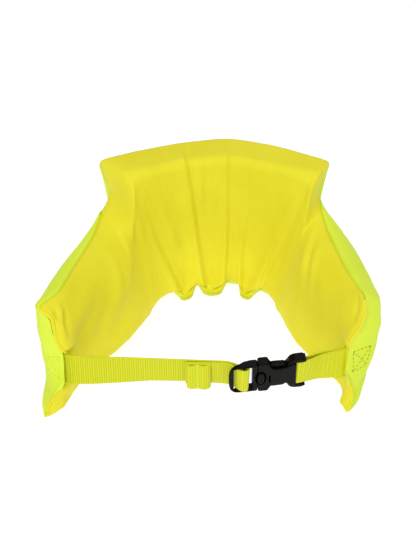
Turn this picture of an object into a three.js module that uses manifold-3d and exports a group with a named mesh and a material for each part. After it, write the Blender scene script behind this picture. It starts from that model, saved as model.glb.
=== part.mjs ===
// Neoprene swim belt: a padded float worn round a child's waist, closed in front by a webbing strap
// and a side-release buckle. Millimetres, +Z up. The belt stands on its hem with the strap toward -Y
// and the tall float block toward +Y. The origin is on the floor under the middle of its outer box.
import * as THREE from "three";
import { mergeVertices } from "three/addons/utils/BufferGeometryUtils.js";
import Module from "manifold-3d";

const wasm = await Module();
wasm.setup();

// Middle of the belt's outer box, taken to the origin
const BOX_MIDDLE = { x: 0.8, y: -2 };

// Cloth
const LINING_WALL = 2.0;
const SEAM_GAP = 0.4;
const HEM_HEIGHT = 4.0;

// Rounding of the float: a top edge this low is square, and over the fade it becomes one round slope
const SQUARE_TOP = 7;
const SQUARE_FADE = 10;
// Outer top edge and foot as shares of the width that they turn, and at most of the height
const OUTER_EDGE = { share: 0.85, most: 0.3 };
const OUTER_FOOT = { width: 0.5, share: 1.4, most: 0.35 };

// Webbing
const STRAP_WIDTH = 25;
const STRAP_THICKNESS = 1.4;
const POCKET_CLEARANCE = 0.35;

// Buckle
const BUCKLE_MIDDLE = new THREE.Vector3(42.2, -95.6, 36.7);
const BUCKLE_YAW = THREE.MathUtils.degToRad(7);
const BUCKLE_LEAN = THREE.MathUtils.degToRad(17);
const BUCKLE_ROLL = THREE.MathUtils.degToRad(2.9);

// Colours read from the photograph
const LIME = new THREE.MeshStandardMaterial({ color: 0xdcf046, roughness: 0.75, metalness: 0 });
const YELLOW = new THREE.MeshStandardMaterial({ color: 0xe6db32, roughness: 0.8, metalness: 0 });
const WEBBING = new THREE.MeshStandardMaterial({ color: 0xdade2e, roughness: 0.7, metalness: 0 });
const BLACK = new THREE.MeshStandardMaterial({ color: 0x23211e, roughness: 0.4, metalness: 0 });

// Sections of the float from the left flap round the back to the right flap.
// x, y, high: place of the top seam. ix, iy: upper edge of the inner face. bx, by: its lower edge.
// out: how far the outer face stands past the seam. ox, oy: shift of the outer face at the floor.
// top: height of the rounded inner top edge. turn, arc: angle and length of the lining's roll at the hem.
const SECTION_COLUMNS = ["x", "y", "high", "ix", "iy", "bx", "by", "out", "ox", "oy", "top", "turn", "arc"];
const SECTIONS = [
  [-118, -84, 86, -114.4, -86.0, -112.4, -100.5, 4, 2, -14, 8, 2, 10],
  [-116, -81, 87, -111.5, -83.5, -107.5, -97.5, 9, 2, -12, 12, 4, 13],
  [-112, -75, 87, -106.5, -77.5, -100.0, -87.0, 13, 2, -10, 18, 16, 15],
  [-107, -67, 87, -100.4, -69.5, -92.0, -75.5, 15, 2, -7, 24, 48, 17],
  [-104, -58, 87, -95.4, -60.8, -87.0, -65.0, 16, 2, -4, 28, 70, 20],
  [-99, -35, 86, -86.0, -37.9, -75.5, -50.0, 15, 4, -2, 30, 75, 22],
  [-92, -10, 86, -75.5, -14.5, -63.0, -34.5, 13, 6, -2, 30, 78, 23],
  [-86, 15, 86, -67.5, 7.0, -52.5, -18.0, 8, 8, -3, 28, 75, 23],
  [-82, 42, 88, -65.0, 23.0, -45.0, -0.5, 3.5, 10, -4, 24, 66, 22],
  [-77, 58, 98, -62.5, 34.0, -41.5, 13.5, 3, 14, -5, 16, 60, 21],
  [-84, 68, 119, -58.8, 41.5, -38.5, 25.0, 3, 18, -6, 9, 62, 19],
  [-68, 77, 120, -50.5, 47.5, -35.0, 35.0, 3, 14, -5, 7, 66, 18],
  [-53, 84, 120, -39.7, 52.7, -29.0, 46.0, 3, 8, -4, 7, 68, 16],
  [-14, 96, 121, -9.9, 62.3, -10.9, 60.0, 3, 3, -4, 7, 70, 16],
  [14, 99, 122, 14.0, 65.0, 11.0, 63.0, 3, -2, -4, 7, 70, 16],
  [44, 93, 121, 36.9, 59.7, 29.0, 59.0, 3, -5, -4, 7, 70, 16],
  [76, 78, 120, 65.0, 49.0, 42.5, 46.0, 3, -12, -4, 7, 66, 18],
  [94.5, 66, 119, 82.0, 41.0, 48.0, 32.0, 3, -18, -4, 9, 62, 19],
  [86, 56, 98, 80.0, 32.0, 50.0, 20.5, 3, -14, -2, 16, 60, 21],
  [88, 44, 88, 76.0, 24.0, 52.0, 9.5, 9.5, -10, 0, 24, 66, 22],
  [90.6, 20, 86, 74.0, 8.0, 56.0, -5.5, 18, -9, 0, 28, 75, 23],
  [96, -10, 86, 81.0, -16.0, 62.0, -23.5, 21.5, -8, 0, 30, 78, 23],
  [100.5, -33, 86, 89.5, -36.5, 71.0, -41.0, 21, -6, 0, 30, 75, 22],
  [106, -55, 87, 99.0, -57.8, 85.5, -61.5, 18, -4, -4, 28, 70, 20],
  [108.5, -64, 88, 102.6, -66.6, 92.0, -72.5, 16.5, -6, -8, 24, 48, 17],
  [111, -70, 89, 105.5, -72.8, 95.5, -82.4, 14, -9, -11, 18, 14, 15],
  [112, -75, 89, 107.5, -77.8, 97.0, -90.8, 13, -12, -14, 12, 4, 13],
  [112, -78, 89, 108.5, -80.4, 97.5, -95.6, 10, -14, -16, 8, 2, 10],
];

// Scallops of the gathered hem: middle and half width along the seam, and the turn that rolls it inward.
// The first and last are the long, slight ones under the wings.
const SCALLOP_ROUND = 0.5;
const SCALLOPS = [
  { middle: 132, reach: 34, turn: -20 },
  { middle: 238.2, reach: 16, turn: -136 },
  { middle: 271.2, reach: 14, turn: -136 },
  { middle: 316.2, reach: 15, turn: -136 },
  { middle: 403, reach: 22, turn: -18 },
];

// Folds of the lining: places along the seam at the hem, half way up and at the top, and the depths
const FOLD_FADE = { above: 6, top: 14, below: 4, hem: 16 };
// Folds end where the lining turns onto the top face: growth with the offset from the seam, and its start
const FOLD_FACE = { slope: 1.5, start: 0.3 };
const FOLDS = [
  { low: 224, mid: 207, high: 190, top: 72, reach: 11, depthLow: 3.0, depthHigh: 0.5 },
  { low: 254, mid: 246, high: 241, top: 122, reach: 10, depthLow: 4.5, depthHigh: 1.4 },
  { low: 281, mid: 282, high: 278, top: 124, reach: 10, depthLow: 3.5, depthHigh: 1.4 },
  { low: 300, mid: 301, high: 300, top: 74, reach: 10, depthLow: 3.0, depthHigh: 0.5 },
  { low: 328, mid: 340, high: 355, top: 98, reach: 11, depthLow: 3.0, depthHigh: 0.7 },
];

// How the two faces come in toward the floor: the inner one evenly, the outer one late
const INNER_FOOT_POWER = 0.8;
const OUTER_FOOT_POWER = 1.8;

// Flap edges drawn in by the straps and folded at their corners: at each height the shift of the lining's
// edge in x and in y, and in x that of the outer face
const EDGE_COLUMNS = ["height", "x", "y", "outer"];
const LEFT_EDGE = [
  [0, -2.6, 0, -1.8],
  [10, -1, 0.5, 3.2],
  [15, 2.4, 1.1, 6.2],
  [21, 9, 2.2, 7],
  [28, 13.8, 2.8, 7.4],
  [36, 14.1, 2.8, 5.8],
  [49, 14.4, 2.6, 5.2],
  [55, 11, 2, 4],
  [61, 8.4, 1.4, 3],
  [72, 7, 0.6, 2.4],
  [79, 6, 0.2, 2.2],
  [86, -1, 0, -0.5],
];
const RIGHT_EDGE = [
  [0, -0.4, 0, 2.2],
  [8, 4, 0.6, -1.6],
  [13, 4.6, 1.1, -4.2],
  [18, 3.4, 1.9, -2.4],
  [24, 0.7, 2.8, -0.6],
  [31, -2.8, 3.6, 0.4],
  [51, -4.1, 3.6, 1],
  [61, -1.9, 2.2, 2],
  [68, 1.5, 1.2, 0.8],
  [80, 2.9, 0.3, -0.5],
  [89, -1.8, 0, -2.6],
];
const EDGE_REACH = 26;

// Spans along the seam and how many strips each is cut into: fine at the flaps and the gathers
const STRIPS = [
  { until: 24, count: 6 },
  { until: 150, count: 12 },
  { until: 203, count: 9 },
  { until: 348, count: 34 },
  { until: 407, count: 9 },
  { until: 507, count: 10 },
  { until: Infinity, count: 6 },
];
const LINING_CELLS = { roll: 4, face: 5, edge: 3, top: 2 };
const SHELL_CELLS = { edge: 3, face: 4, foot: 3 };

// Curve without overshoot through values at rising places
function easedCurve(places, values) {
  const steps = places.slice(1).map((place, i) => place - places[i]);
  const slopes = steps.map((step, i) => (values[i + 1] - values[i]) / step);
  const tangents = values.map((value, i) => {
    if (i === 0) return slopes[0];
    if (i === slopes.length) return slopes[i - 1];
    if (slopes[i - 1] * slopes[i] <= 0) return 0;
    const before = 2 * steps[i] + steps[i - 1];
    const after = steps[i] + 2 * steps[i - 1];
    return (before + after) / (before / slopes[i - 1] + after / slopes[i]);
  });
  return (place) => {
    let i = 0;
    while (i < steps.length - 1 && place > places[i + 1]) i += 1;
    const t = THREE.MathUtils.clamp((place - places[i]) / steps[i], 0, 1);
    const rise = t * t * (3 - 2 * t);
    const leave = t * (1 - t) * (1 - t) * steps[i];
    const arrive = t * t * (t - 1) * steps[i];
    return values[i] * (1 - rise) + values[i + 1] * rise + tangents[i] * leave + tangents[i + 1] * arrive;
  };
}

const clamp01 = (value) => THREE.MathUtils.clamp(value, 0, 1);
const smooth01 = (value) => THREE.MathUtils.smoothstep(value, 0, 1);
const range = (count) => Array.from({ length: count }, (unused, i) => i);

// Table of sections as curves along the seam
const seamPlaces = [0];
for (let i = 1; i < SECTIONS.length; i += 1) {
  const [x, y, high] = SECTIONS[i];
  const [lastX, lastY, lastHigh] = SECTIONS[i - 1];
  seamPlaces.push(seamPlaces[i - 1] + Math.hypot(x - lastX, y - lastY, high - lastHigh));
}
const SEAM_LENGTH = seamPlaces[seamPlaces.length - 1];
const sectionCurves = SECTION_COLUMNS.map((name, column) =>
  easedCurve(seamPlaces, SECTIONS.map((row) => row[column])));

// One section of the float at a place along the seam, with its hem roll
function sectionAt(place) {
  const section = { place };
  SECTION_COLUMNS.forEach((name, column) => {
    section[name] = sectionCurves[column](place);
  });
  section.inner = Math.hypot(section.x - section.ix, section.y - section.iy);
  section.dirX = (section.x - section.ix) / section.inner;
  section.dirY = (section.y - section.iy) / section.inner;
  let turn = section.turn;
  for (const scallop of SCALLOPS) {
    const away = Math.min(1, Math.abs(place - scallop.middle) / scallop.reach);
    turn += scallop.turn * (1 - away ** 2) ** SCALLOP_ROUND;
  }
  const radians = THREE.MathUtils.degToRad(turn);
  section.roll = Math.abs(radians) < 0.001 ? 0.001 : radians;
  return section;
}

// Push of the lining away from the hollow where a fold runs
function foldDepth(place, z) {
  let depth = 0;
  for (const fold of FOLDS) {
    const up = clamp01(z / fold.top);
    const line = fold.low * (1 - up) * (1 - 2 * up)
      + fold.mid * 4 * up * (1 - up)
      + fold.high * up * (2 * up - 1);
    const away = Math.min(1, Math.abs(place - line) / fold.reach);
    const fade = clamp01((fold.top + FOLD_FADE.above - z) / FOLD_FADE.top)
      * clamp01((z + FOLD_FADE.below) / FOLD_FADE.hem);
    depth += (fold.depthLow + (fold.depthHigh - fold.depthLow) * up) * (1 - away * away) ** 2 * fade;
  }
  return depth;
}

// Lining's line in a section, from the hem up the inner face to the seam: offset from the seam outward,
// height, and the direction toward the lining's back
function liningLine(section) {
  const { inner, high, top, arc, roll } = section;
  const rolled = arc / roll;
  const faceLow = HEM_HEIGHT + rolled * Math.sin(roll);
  const square = 1 - clamp01((top - SQUARE_TOP) / SQUARE_FADE);
  const edge = inner * (1 - square) + Math.min(SQUARE_TOP, inner) * square;
  const line = [];
  for (const i of range(LINING_CELLS.roll)) {
    const angle = roll * (1 - i / LINING_CELLS.roll);
    const out = -inner + rolled * (1 - Math.cos(angle));
    const z = faceLow - rolled * Math.sin(angle);
    line.push({ out, z, backOut: Math.cos(angle), backZ: Math.sin(angle) });
  }
  for (const i of range(LINING_CELLS.face)) {
    const z = faceLow + (high - top - faceLow) * i / LINING_CELLS.face;
    line.push({ out: -inner, z, backOut: 1, backZ: 0 });
  }
  for (const i of range(LINING_CELLS.edge)) {
    const angle = Math.PI / 2 * i / LINING_CELLS.edge;
    const out = -inner + edge * (1 - Math.cos(angle));
    const z = high - top + top * Math.sin(angle);
    line.push({ out, z, backOut: Math.cos(angle), backZ: -Math.sin(angle) });
  }
  for (const i of range(LINING_CELLS.top + 1)) {
    const out = -inner + edge + (inner - edge) * i / LINING_CELLS.top;
    line.push({ out, z: high, backOut: 0, backZ: -1 });
  }
  return line;
}

// Shell's line in a section, from the seam down the outer face to the hem
function shellLine(section) {
  const { inner, out, high, arc, roll } = section;
  const edge = Math.min(OUTER_EDGE.share * out, OUTER_EDGE.most * high);
  const foot = OUTER_FOOT.width * (out + inner);
  const footHigh = Math.min(OUTER_FOOT.share * foot, OUTER_FOOT.most * high);
  const line = [{ out: SEAM_GAP, z: high }];
  for (const i of range(SHELL_CELLS.edge)) {
    const angle = Math.PI / 2 * (i + 1) / (SHELL_CELLS.edge + 1);
    const z = high - edge + edge * Math.cos(angle);
    line.push({ out: SEAM_GAP + (out - SEAM_GAP) * Math.sin(angle), z });
  }
  for (const i of range(SHELL_CELLS.face)) {
    line.push({ out, z: high - edge + (footHigh - high + edge) * i / SHELL_CELLS.face });
  }
  for (const i of range(SHELL_CELLS.foot + 1)) {
    const angle = Math.PI / 2 * i / SHELL_CELLS.foot;
    line.push({ out: out - foot + foot * Math.cos(angle), z: footHigh - footHigh * Math.sin(angle) });
  }
  const hem = -inner + arc / roll * (1 - Math.cos(roll)) + SEAM_GAP * Math.sin(roll);
  line.push({ out: hem, z: 0 });
  return line;
}

// Shift of a flap edge as curves of the height
function edgeCurves(rows) {
  const heights = rows.map((row) => row[EDGE_COLUMNS.indexOf("height")]);
  const curve = (name) => easedCurve(heights, rows.map((row) => row[EDGE_COLUMNS.indexOf(name)]));
  return { x: curve("x"), y: curve("y"), outer: curve("outer") };
}

const leftEdge = edgeCurves(LEFT_EDGE);
const rightEdge = edgeCurves(RIGHT_EDGE);

// Place in space of a point of a section
function placePoint(section, out, z) {
  const drop = clamp01(1 - z / section.high);
  const inward = smooth01((section.out - out) / (section.out + section.inner));
  const innerFoot = inward * drop ** INNER_FOOT_POWER;
  const outerFoot = (1 - inward) * drop ** OUTER_FOOT_POWER;
  const footX = (section.bx - section.ix) * innerFoot + section.ox * outerFoot;
  const footY = (section.by - section.iy) * innerFoot + section.oy * outerFoot;
  const left = smooth01(1 - section.place / EDGE_REACH);
  const right = smooth01(1 - (SEAM_LENGTH - section.place) / EDGE_REACH);
  const edgeX = (edge) => edge.x(z) * inward + edge.outer(z) * (1 - inward);
  return new THREE.Vector3(
    section.x + section.dirX * out + footX + left * edgeX(leftEdge) + right * edgeX(rightEdge),
    section.y + section.dirY * out + footY + left * leftEdge.y(z) + right * rightEdge.y(z),
    z,
  );
}

// Places along the seam where the cloth is cut into strips
function stripPlaces() {
  const places = [0];
  for (const { until, count } of STRIPS) {
    const from = places[places.length - 1];
    const to = Math.min(until, SEAM_LENGTH);
    for (const i of range(count)) places.push(from + (to - from) * (i + 1) / count);
  }
  return places;
}

const sections = stripPlaces().map(sectionAt);

// Lining's points at a depth behind its face, as one row for each section. Folds end on the top face.
function liningRows(depth) {
  return sections.map((section) => liningLine(section).map(({ out, z, backOut, backZ }) => {
    const onFace = clamp01(-FOLD_FACE.slope * out / section.inner - FOLD_FACE.start);
    const fold = foldDepth(section.place, z) * onFace;
    return placePoint(section, out + backOut * depth + fold, z + backZ * depth);
  }));
}

// Geometry from points and triangles
function meshOf(points, triangles) {
  const geometry = new THREE.BufferGeometry();
  const positions = new Float32Array(points.flatMap((point) => [point.x, point.y, point.z]));
  geometry.setAttribute("position", new THREE.BufferAttribute(positions, 3));
  geometry.setIndex(triangles.flat());
  return geometry;
}

// Closed body through rings of equal length, with flat ends
function loft(rings) {
  const size = rings[0].length;
  const triangles = [];
  for (let i = 0; i < rings.length - 1; i += 1) {
    for (let j = 0; j < size; j += 1) {
      const a = i * size + j;
      const b = i * size + (j + 1) % size;
      triangles.push([a, b, a + size], [b, b + size, a + size]);
    }
  }
  const last = (rings.length - 1) * size;
  for (const [a, b, c] of endFace(rings[0])) triangles.push([c, b, a]);
  for (const [a, b, c] of endFace(rings[rings.length - 1])) triangles.push([last + a, last + b, last + c]);
  return outward(meshOf(rings.flat(), triangles));
}

// Triangles of a closed ring, found in the ring's own best plane
function endFace(ring) {
  const normal = new THREE.Vector3();
  ring.forEach((point, i) => {
    const next = ring[(i + 1) % ring.length];
    normal.add(new THREE.Vector3().crossVectors(point, next));
  });
  normal.normalize();
  const across = new THREE.Vector3().subVectors(ring[1], ring[0]);
  across.addScaledVector(normal, -across.dot(normal)).normalize();
  const up = new THREE.Vector3().crossVectors(normal, across);
  return THREE.ShapeUtils.triangulateShape(
    ring.map((point) => new THREE.Vector2(point.dot(across), point.dot(up))), []);
}

// The same geometry with its faces pointing out
function outward(geometry) {
  const position = geometry.getAttribute("position");
  const index = geometry.getIndex();
  const [a, b, c] = range(3).map(() => new THREE.Vector3());
  let volume = 0;
  for (let i = 0; i < index.count; i += 3) {
    a.fromBufferAttribute(position, index.getX(i));
    b.fromBufferAttribute(position, index.getX(i + 1));
    c.fromBufferAttribute(position, index.getX(i + 2));
    volume += a.dot(b.cross(c));
  }
  if (volume < 0) {
    for (let i = 0; i < index.count; i += 3) {
      const first = index.getX(i);
      index.setX(i, index.getX(i + 2));
      index.setX(i + 2, first);
    }
  }
  return geometry;
}

// Geometry as a solid for cuts and joins, and back
function solidOf(geometry) {
  const bare = geometry.clone();
  bare.deleteAttribute("normal");
  bare.deleteAttribute("uv");
  const merged = mergeVertices(bare, 1e-4);
  return new wasm.Manifold(new wasm.Mesh({
    numProp: 3,
    vertProperties: merged.getAttribute("position").array,
    triVerts: new Uint32Array(merged.getIndex().array),
  }));
}

function geometryOf(solid) {
  const { vertProperties, triVerts } = solid.getMesh();
  const geometry = new THREE.BufferGeometry();
  geometry.setAttribute("position", new THREE.BufferAttribute(new Float32Array(vertProperties), 3));
  geometry.setIndex(new THREE.BufferAttribute(new Uint32Array(triVerts), 1));
  return geometry;
}

// Yellow lining: a wall from the hem over the inner face and the block's top to the seam
function liningGeometry() {
  const face = liningRows(0);
  const back = liningRows(LINING_WALL);
  return loft(back.map((row, i) => [...row, ...face[i].toReversed()]));
}

// Lime shell and its foam: outside, floor and hem lip, closed behind the lining
function floatGeometry() {
  const behind = liningRows(LINING_WALL + SEAM_GAP);
  return loft(sections.map((section, i) => {
    const outside = shellLine(section).map(({ out, z }) => placePoint(section, out, z));
    return [...outside, ...behind[i]];
  }));
}

// Webbing along stations of a middle point and an across direction
function ribbon(stations, width, thickness) {
  const rings = stations.map(({ point, across }, i) => {
    const before = stations[Math.max(0, i - 1)].point;
    const after = stations[Math.min(stations.length - 1, i + 1)].point;
    const along = new THREE.Vector3().subVectors(after, before).normalize();
    const front = new THREE.Vector3().crossVectors(along, across).normalize();
    const corner = (side, face) => point.clone()
      .addScaledVector(across, side * width / 2).addScaledVector(front, face * thickness / 2);
    return [corner(-1, 1), corner(1, 1), corner(1, -1), corner(-1, -1)];
  });
  return loft(rings);
}

// A strap's middle line as a function of x: route rows of x, y, z and forward lean in degrees
function strapRoute(rows) {
  const places = rows.map((row) => row[0]);
  const [alongY, alongZ, alongLean] = [1, 2, 3].map((column) =>
    easedCurve(places, rows.map((row) => row[column])));
  return (x, layer = 0) => {
    const step = 0.5;
    const heading = new THREE.Vector3(2 * step, alongY(x + step) - alongY(x - step), 0).normalize();
    const forward = new THREE.Vector3(heading.y, -heading.x, 0);
    const lean = THREE.MathUtils.degToRad(alongLean(x));
    const across = new THREE.Vector3(0, 0, Math.cos(lean)).addScaledVector(forward, Math.sin(lean));
    const front = new THREE.Vector3(0, 0, -Math.sin(lean)).addScaledVector(forward, Math.cos(lean));
    return { point: new THREE.Vector3(x, alongY(x), alongZ(x)).addScaledVector(front, layer), across };
  };
}

// Half turn of a strap round a bar or fold, from one layer to another, bulging toward x + side
function halfTurn(route, x, fromLayer, toLayer, side, steps = 6) {
  const middle = (fromLayer + toLayer) / 2;
  const radius = (toLayer - fromLayer) / 2;
  return range(steps - 1).map((i) => {
    const angle = Math.PI * (i + 1) / steps;
    return route(x + side * Math.abs(radius) * Math.sin(angle), middle - radius * Math.cos(angle));
  });
}

// Long strap: sewn into the left flap, behind the buckle's end bar, round the ladder bar, and back in front
const LONG_ROUTE = [
  [-114, -80.2, 35.6, 0],
  [-101, -87.7, 35.6, 0],
  [-86, -91.2, 36.4, 2],
  [-62, -92.0, 37.6, 7],
  [-40, -92.0, 38, 14],
  [-16, -92.6, 38, 20],
  [0, -93.3, 37.9, 18.5],
  [13, -93.3, 37.2, 17],
  [19, -94.0, 37.0, 17],
  [25.7, -94.5, 36.8, 17],
  [36, -93.4, 37.3, 17],
];
const LONG_TAB_END = -113;
const LONG_STATIONS = [LONG_TAB_END, -107, -101, -95, -87, -76, -64, -52, -40, -28, -16, -6, 4, 13];
const LADDER = { x: 26.3, behind: 3.3, before: 7.5 };
const BOW = { left: -15, right: 0.5, end: -14 };
const BOW_LAYERS = [1.9, 3.8, 5.7];
// Way behind the end bar to the ladder bar, and back under the end bar: x and layer
const LADDER_WAY = [[16, 0.3], [20, 1.4], [23.5, 2.6], [LADDER.x, LADDER.behind]];
const TAIL_WAY = [
  [LADDER.x, LADDER.before], [24, 7.2], [21.5, 5.6], [19, 3.4], [16.5, 2.3], [12, BOW_LAYERS[0]],
];

function longStrapGeometry() {
  const route = strapRoute(LONG_ROUTE);
  const [tail, firstFold, secondFold] = BOW_LAYERS;
  const stations = [
    ...LONG_STATIONS.map((x) => route(x)),
    ...LADDER_WAY.map(([x, layer]) => route(x, layer)),
    ...halfTurn(route, LADDER.x, LADDER.behind, LADDER.before, 1),
    ...TAIL_WAY.map(([x, layer]) => route(x, layer)),
    route(BOW.right, tail),
    route(BOW.left, tail),
    ...halfTurn(route, BOW.left, tail, firstFold, -1, 4),
    route(BOW.left, firstFold),
    route(BOW.right, firstFold),
    ...halfTurn(route, BOW.right, firstFold, secondFold, 1, 4),
    route(BOW.right, secondFold),
    route(BOW.end, secondFold),
  ];
  return ribbon(stations, STRAP_WIDTH, STRAP_THICKNESS);
}

// Short strap: both ends sewn into the right flap, looped round the socket's bar
const SHORT_ROUTE = [
  [58, -93.8, 37.4, 17],
  [66.5, -92.9, 37.9, 17],
  [71, -90.9, 38.2, 15],
  [82, -85.8, 37.6, 9],
  [96.5, -82.4, 37, 0],
  [110, -72.0, 37, 0],
];
const SOCKET_BAR = { x: 63.9, layer: 1.85 };
const SHORT_TAB_END = 108;
const SHORT_TAB_LAYER = 0.95;
// The front layer's way from the sewn end to the bar: x and layer
const SHORT_WAY = [
  [SHORT_TAB_END, SHORT_TAB_LAYER],
  [102, SHORT_TAB_LAYER],
  [96.5, SHORT_TAB_LAYER],
  [89, 1],
  [80, 1.2],
  [71, 1.8],
  [SOCKET_BAR.x, SOCKET_BAR.layer],
];

function shortStrapGeometry() {
  const route = strapRoute(SHORT_ROUTE);
  const stations = [
    ...SHORT_WAY.map(([x, layer]) => route(x, layer)),
    ...halfTurn(route, SOCKET_BAR.x, SOCKET_BAR.layer, -SOCKET_BAR.layer, -1),
    ...SHORT_WAY.toReversed().map(([x, layer]) => route(x, -layer)),
  ];
  return ribbon(stations, STRAP_WIDTH, STRAP_THICKNESS);
}

// Pocket that a strap's sewn end fills, a little larger than the strap, open toward the hollow
const POCKET_STEPS = 6;
const LEFT_MOUTH = -90;
const RIGHT_MOUTH = 88;

function pocketGeometry(rows, fromX, toX, thickness) {
  const route = strapRoute(rows);
  const stations = range(POCKET_STEPS + 1).map((i) => route(fromX + (toX - fromX) * i / POCKET_STEPS));
  return ribbon(stations, STRAP_WIDTH + 2 * POCKET_CLEARANCE, thickness + 2 * POCKET_CLEARANCE);
}

// Outline with rounded corners from rows of x, y and corner radius
function roundedOutline(corners) {
  const path = new THREE.Shape();
  corners.forEach(([x, y, radius], i) => {
    const [beforeX, beforeY] = corners.at(i - 1);
    const [afterX, afterY] = corners[(i + 1) % corners.length];
    const here = new THREE.Vector2(x, y);
    const arrive = new THREE.Vector2(beforeX, beforeY).sub(here).setLength(radius).add(here);
    const leave = new THREE.Vector2(afterX, afterY).sub(here).setLength(radius).add(here);
    if (i === 0) path.moveTo(arrive.x, arrive.y);
    else path.lineTo(arrive.x, arrive.y);
    if (radius > 0) path.quadraticCurveTo(x, y, leave.x, leave.y);
  });
  return path;
}

// Outline moved inward by a distance
function insetOutline(outline, distance) {
  const turn = Math.sign(THREE.ShapeUtils.area(outline));
  return outline.map((point, i) => {
    const before = outline.at(i - 1);
    const after = outline[(i + 1) % outline.length];
    const along = new THREE.Vector2().subVectors(after, before).normalize();
    return new THREE.Vector2(point.x - along.y * turn * distance, point.y + along.x * turn * distance);
  });
}

// Plate from an outline between two heights, with its long edges eased
function plate(shape, low, high, ease = 0, curveSegments = 3) {
  const points = shape.getPoints(curveSegments);
  const outline = points[0].distanceTo(points.at(-1)) < 1e-6 ? points.slice(0, -1) : points;
  const levels = ease > 0
    ? [[low, ease], [low + ease, 0], [high - ease, 0], [high, ease]]
    : [[low, 0], [high, 0]];
  return solidOf(loft(levels.map(([level, inset]) =>
    insetOutline(outline, inset).map((point) => new THREE.Vector3(point.x, point.y, level)))));
}

// Block between two corners
function block(from, to) {
  const size = to.map((value, i) => value - from[i]);
  const geometry = new THREE.BoxGeometry(...size);
  return solidOf(geometry.translate(...from.map((value, i) => value + size[i] / 2)));
}

// The same rows mirrored across the buckle's long axis, in an order that closes the outline
const bothSides = (rows) => [...rows, ...rows.toReversed().map(([x, y, radius]) => [x, -y, radius])];

// Plug half of the buckle: ladder frame, cross wall, two spring prongs and a guide.
// In the buckle's own frame x runs along the strap, y across it and z out of the front.
// An outline row is x, y and corner radius.
const PLUG_FRAME = [[-7.6, 15.4, 1.6], [-19, 15.4, 3], [-27.7, 13.8, 4.5]];
const PLUG_SLOT = [[-11.1, 13, 1], [-24.4, 13, 1]];
const PRONGS = [
  [-8.6, 13.4, 0], [0.5, 12.4, 1], [3.4, 13.9, 1], [11, 13.4, 1.5], [13.6, 9.8, 1], [8.5, 8.9, 1],
  [0, 9.2, 1], [-4.5, 8.6, 1], [-4.5, 2.2, 0.5], [11.5, 1.6, 1],
];
const PLUG_LEVELS = { back: -2.9, front: 3.2, bevel: 0.8, prong: 1.5 };
const STRAP_PASS = { from: [-29, -13, -4], to: [-24, 13, 0.9] };
const LADDER_BAR = { from: [-17.6, -13.4, 1.5], to: [-16, 13.4, 3.1] };
const PAST_FACE = 0.6;

function plugGeometry() {
  const { back, front, bevel, prong } = PLUG_LEVELS;
  const plug = plate(roundedOutline(bothSides(PLUG_FRAME)), back, front, bevel)
    .subtract(plate(roundedOutline(bothSides(PLUG_SLOT)), back - PAST_FACE, front + PAST_FACE))
    .subtract(block(STRAP_PASS.from, STRAP_PASS.to))
    .add(block(LADDER_BAR.from, LADDER_BAR.to))
    .add(plate(roundedOutline(bothSides(PRONGS)), -prong, prong));
  return geometryOf(plug);
}

// Socket half of the buckle: open mouth for the prongs, waisted side windows, and between two ears
// a bar for the short strap
const SOCKET_OUTLINE = [
  [27.2, 14.8, 2.2], [22.6, 16.4, 2.4], [17.4, 15.8, 1.7], [14.6, 11.4, 1.7], [9, 8.8, 3], [3.4, 10.4, 2],
  [0.4, 16, 2.2], [-7, 16.3, 1.8],
];
const SOCKET_LEVELS = { half: 3.3, bevel: 0.8 };
const MOUTH = { from: [-8, -14.4, -1.8], to: [14.6, 14.4, 1.8] };
const STRAP_WINDOW = { from: [16.5, -13, -2.7], to: [30, 13, 2.7] };
const EAR_NOTCH = { from: [20.4, -13, -4], to: [30, 13, 4] };
const STRAP_BAR = { from: [22.6, -14, -0.5], to: [24.2, 14, 0.5] };

function socketGeometry() {
  const { half, bevel } = SOCKET_LEVELS;
  const well = ovalOutline(BUTTON.across + SEAM_GAP, BUTTON.along + SEAM_GAP);
  const socket = plate(roundedOutline(bothSides(SOCKET_OUTLINE)), -half, half, bevel)
    .subtract(block(MOUTH.from, MOUTH.to))
    .subtract(block(STRAP_WINDOW.from, STRAP_WINDOW.to))
    .subtract(block(EAR_NOTCH.from, EAR_NOTCH.to))
    .add(block(STRAP_BAR.from, STRAP_BAR.to))
    .subtract(plate(well, BUTTON.well, half + PAST_FACE, 0, BUTTON.outlineSteps));
  return geometryOf(socket);
}

// Oval lock button sunk into the socket's mouth
const BUTTON = { x: -3.9, along: 6.2, across: 2.4, well: 2.4, top: 4, bevel: 0.5, outlineSteps: 6 };

function ovalOutline(radiusX, radiusY) {
  return new THREE.Shape().absellipse(BUTTON.x, 0, radiusX, radiusY, 0, 2 * Math.PI);
}

function buttonGeometry() {
  const outline = ovalOutline(BUTTON.across, BUTTON.along);
  return geometryOf(plate(outline, BUTTON.well + SEAM_GAP, BUTTON.top, BUTTON.bevel, BUTTON.outlineSteps));
}

// Named mesh of a sub-part
function piece(name, geometry, material) {
  const mesh = new THREE.Mesh(geometry, material);
  mesh.name = name;
  return mesh;
}

// Cloth with the slits that the straps pass through
function withPockets(geometry) {
  const left = pocketGeometry(LONG_ROUTE, LONG_TAB_END - POCKET_CLEARANCE, LEFT_MOUTH, STRAP_THICKNESS);
  const right = pocketGeometry(SHORT_ROUTE, RIGHT_MOUTH, SHORT_TAB_END + POCKET_CLEARANCE,
    STRAP_THICKNESS + 2 * SHORT_TAB_LAYER);
  return geometryOf(solidOf(geometry).subtract(solidOf(left)).subtract(solidOf(right)));
}

const buckle = new THREE.Group();
buckle.position.copy(BUCKLE_MIDDLE);
buckle.rotation.set(Math.PI / 2 + BUCKLE_LEAN, 0, BUCKLE_YAW, "ZXY");
buckle.rotateZ(BUCKLE_ROLL);
buckle.add(
  piece("buckle_plug", plugGeometry(), BLACK),
  piece("buckle_socket", socketGeometry(), BLACK),
  piece("lock_button", buttonGeometry(), BLACK),
);

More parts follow.
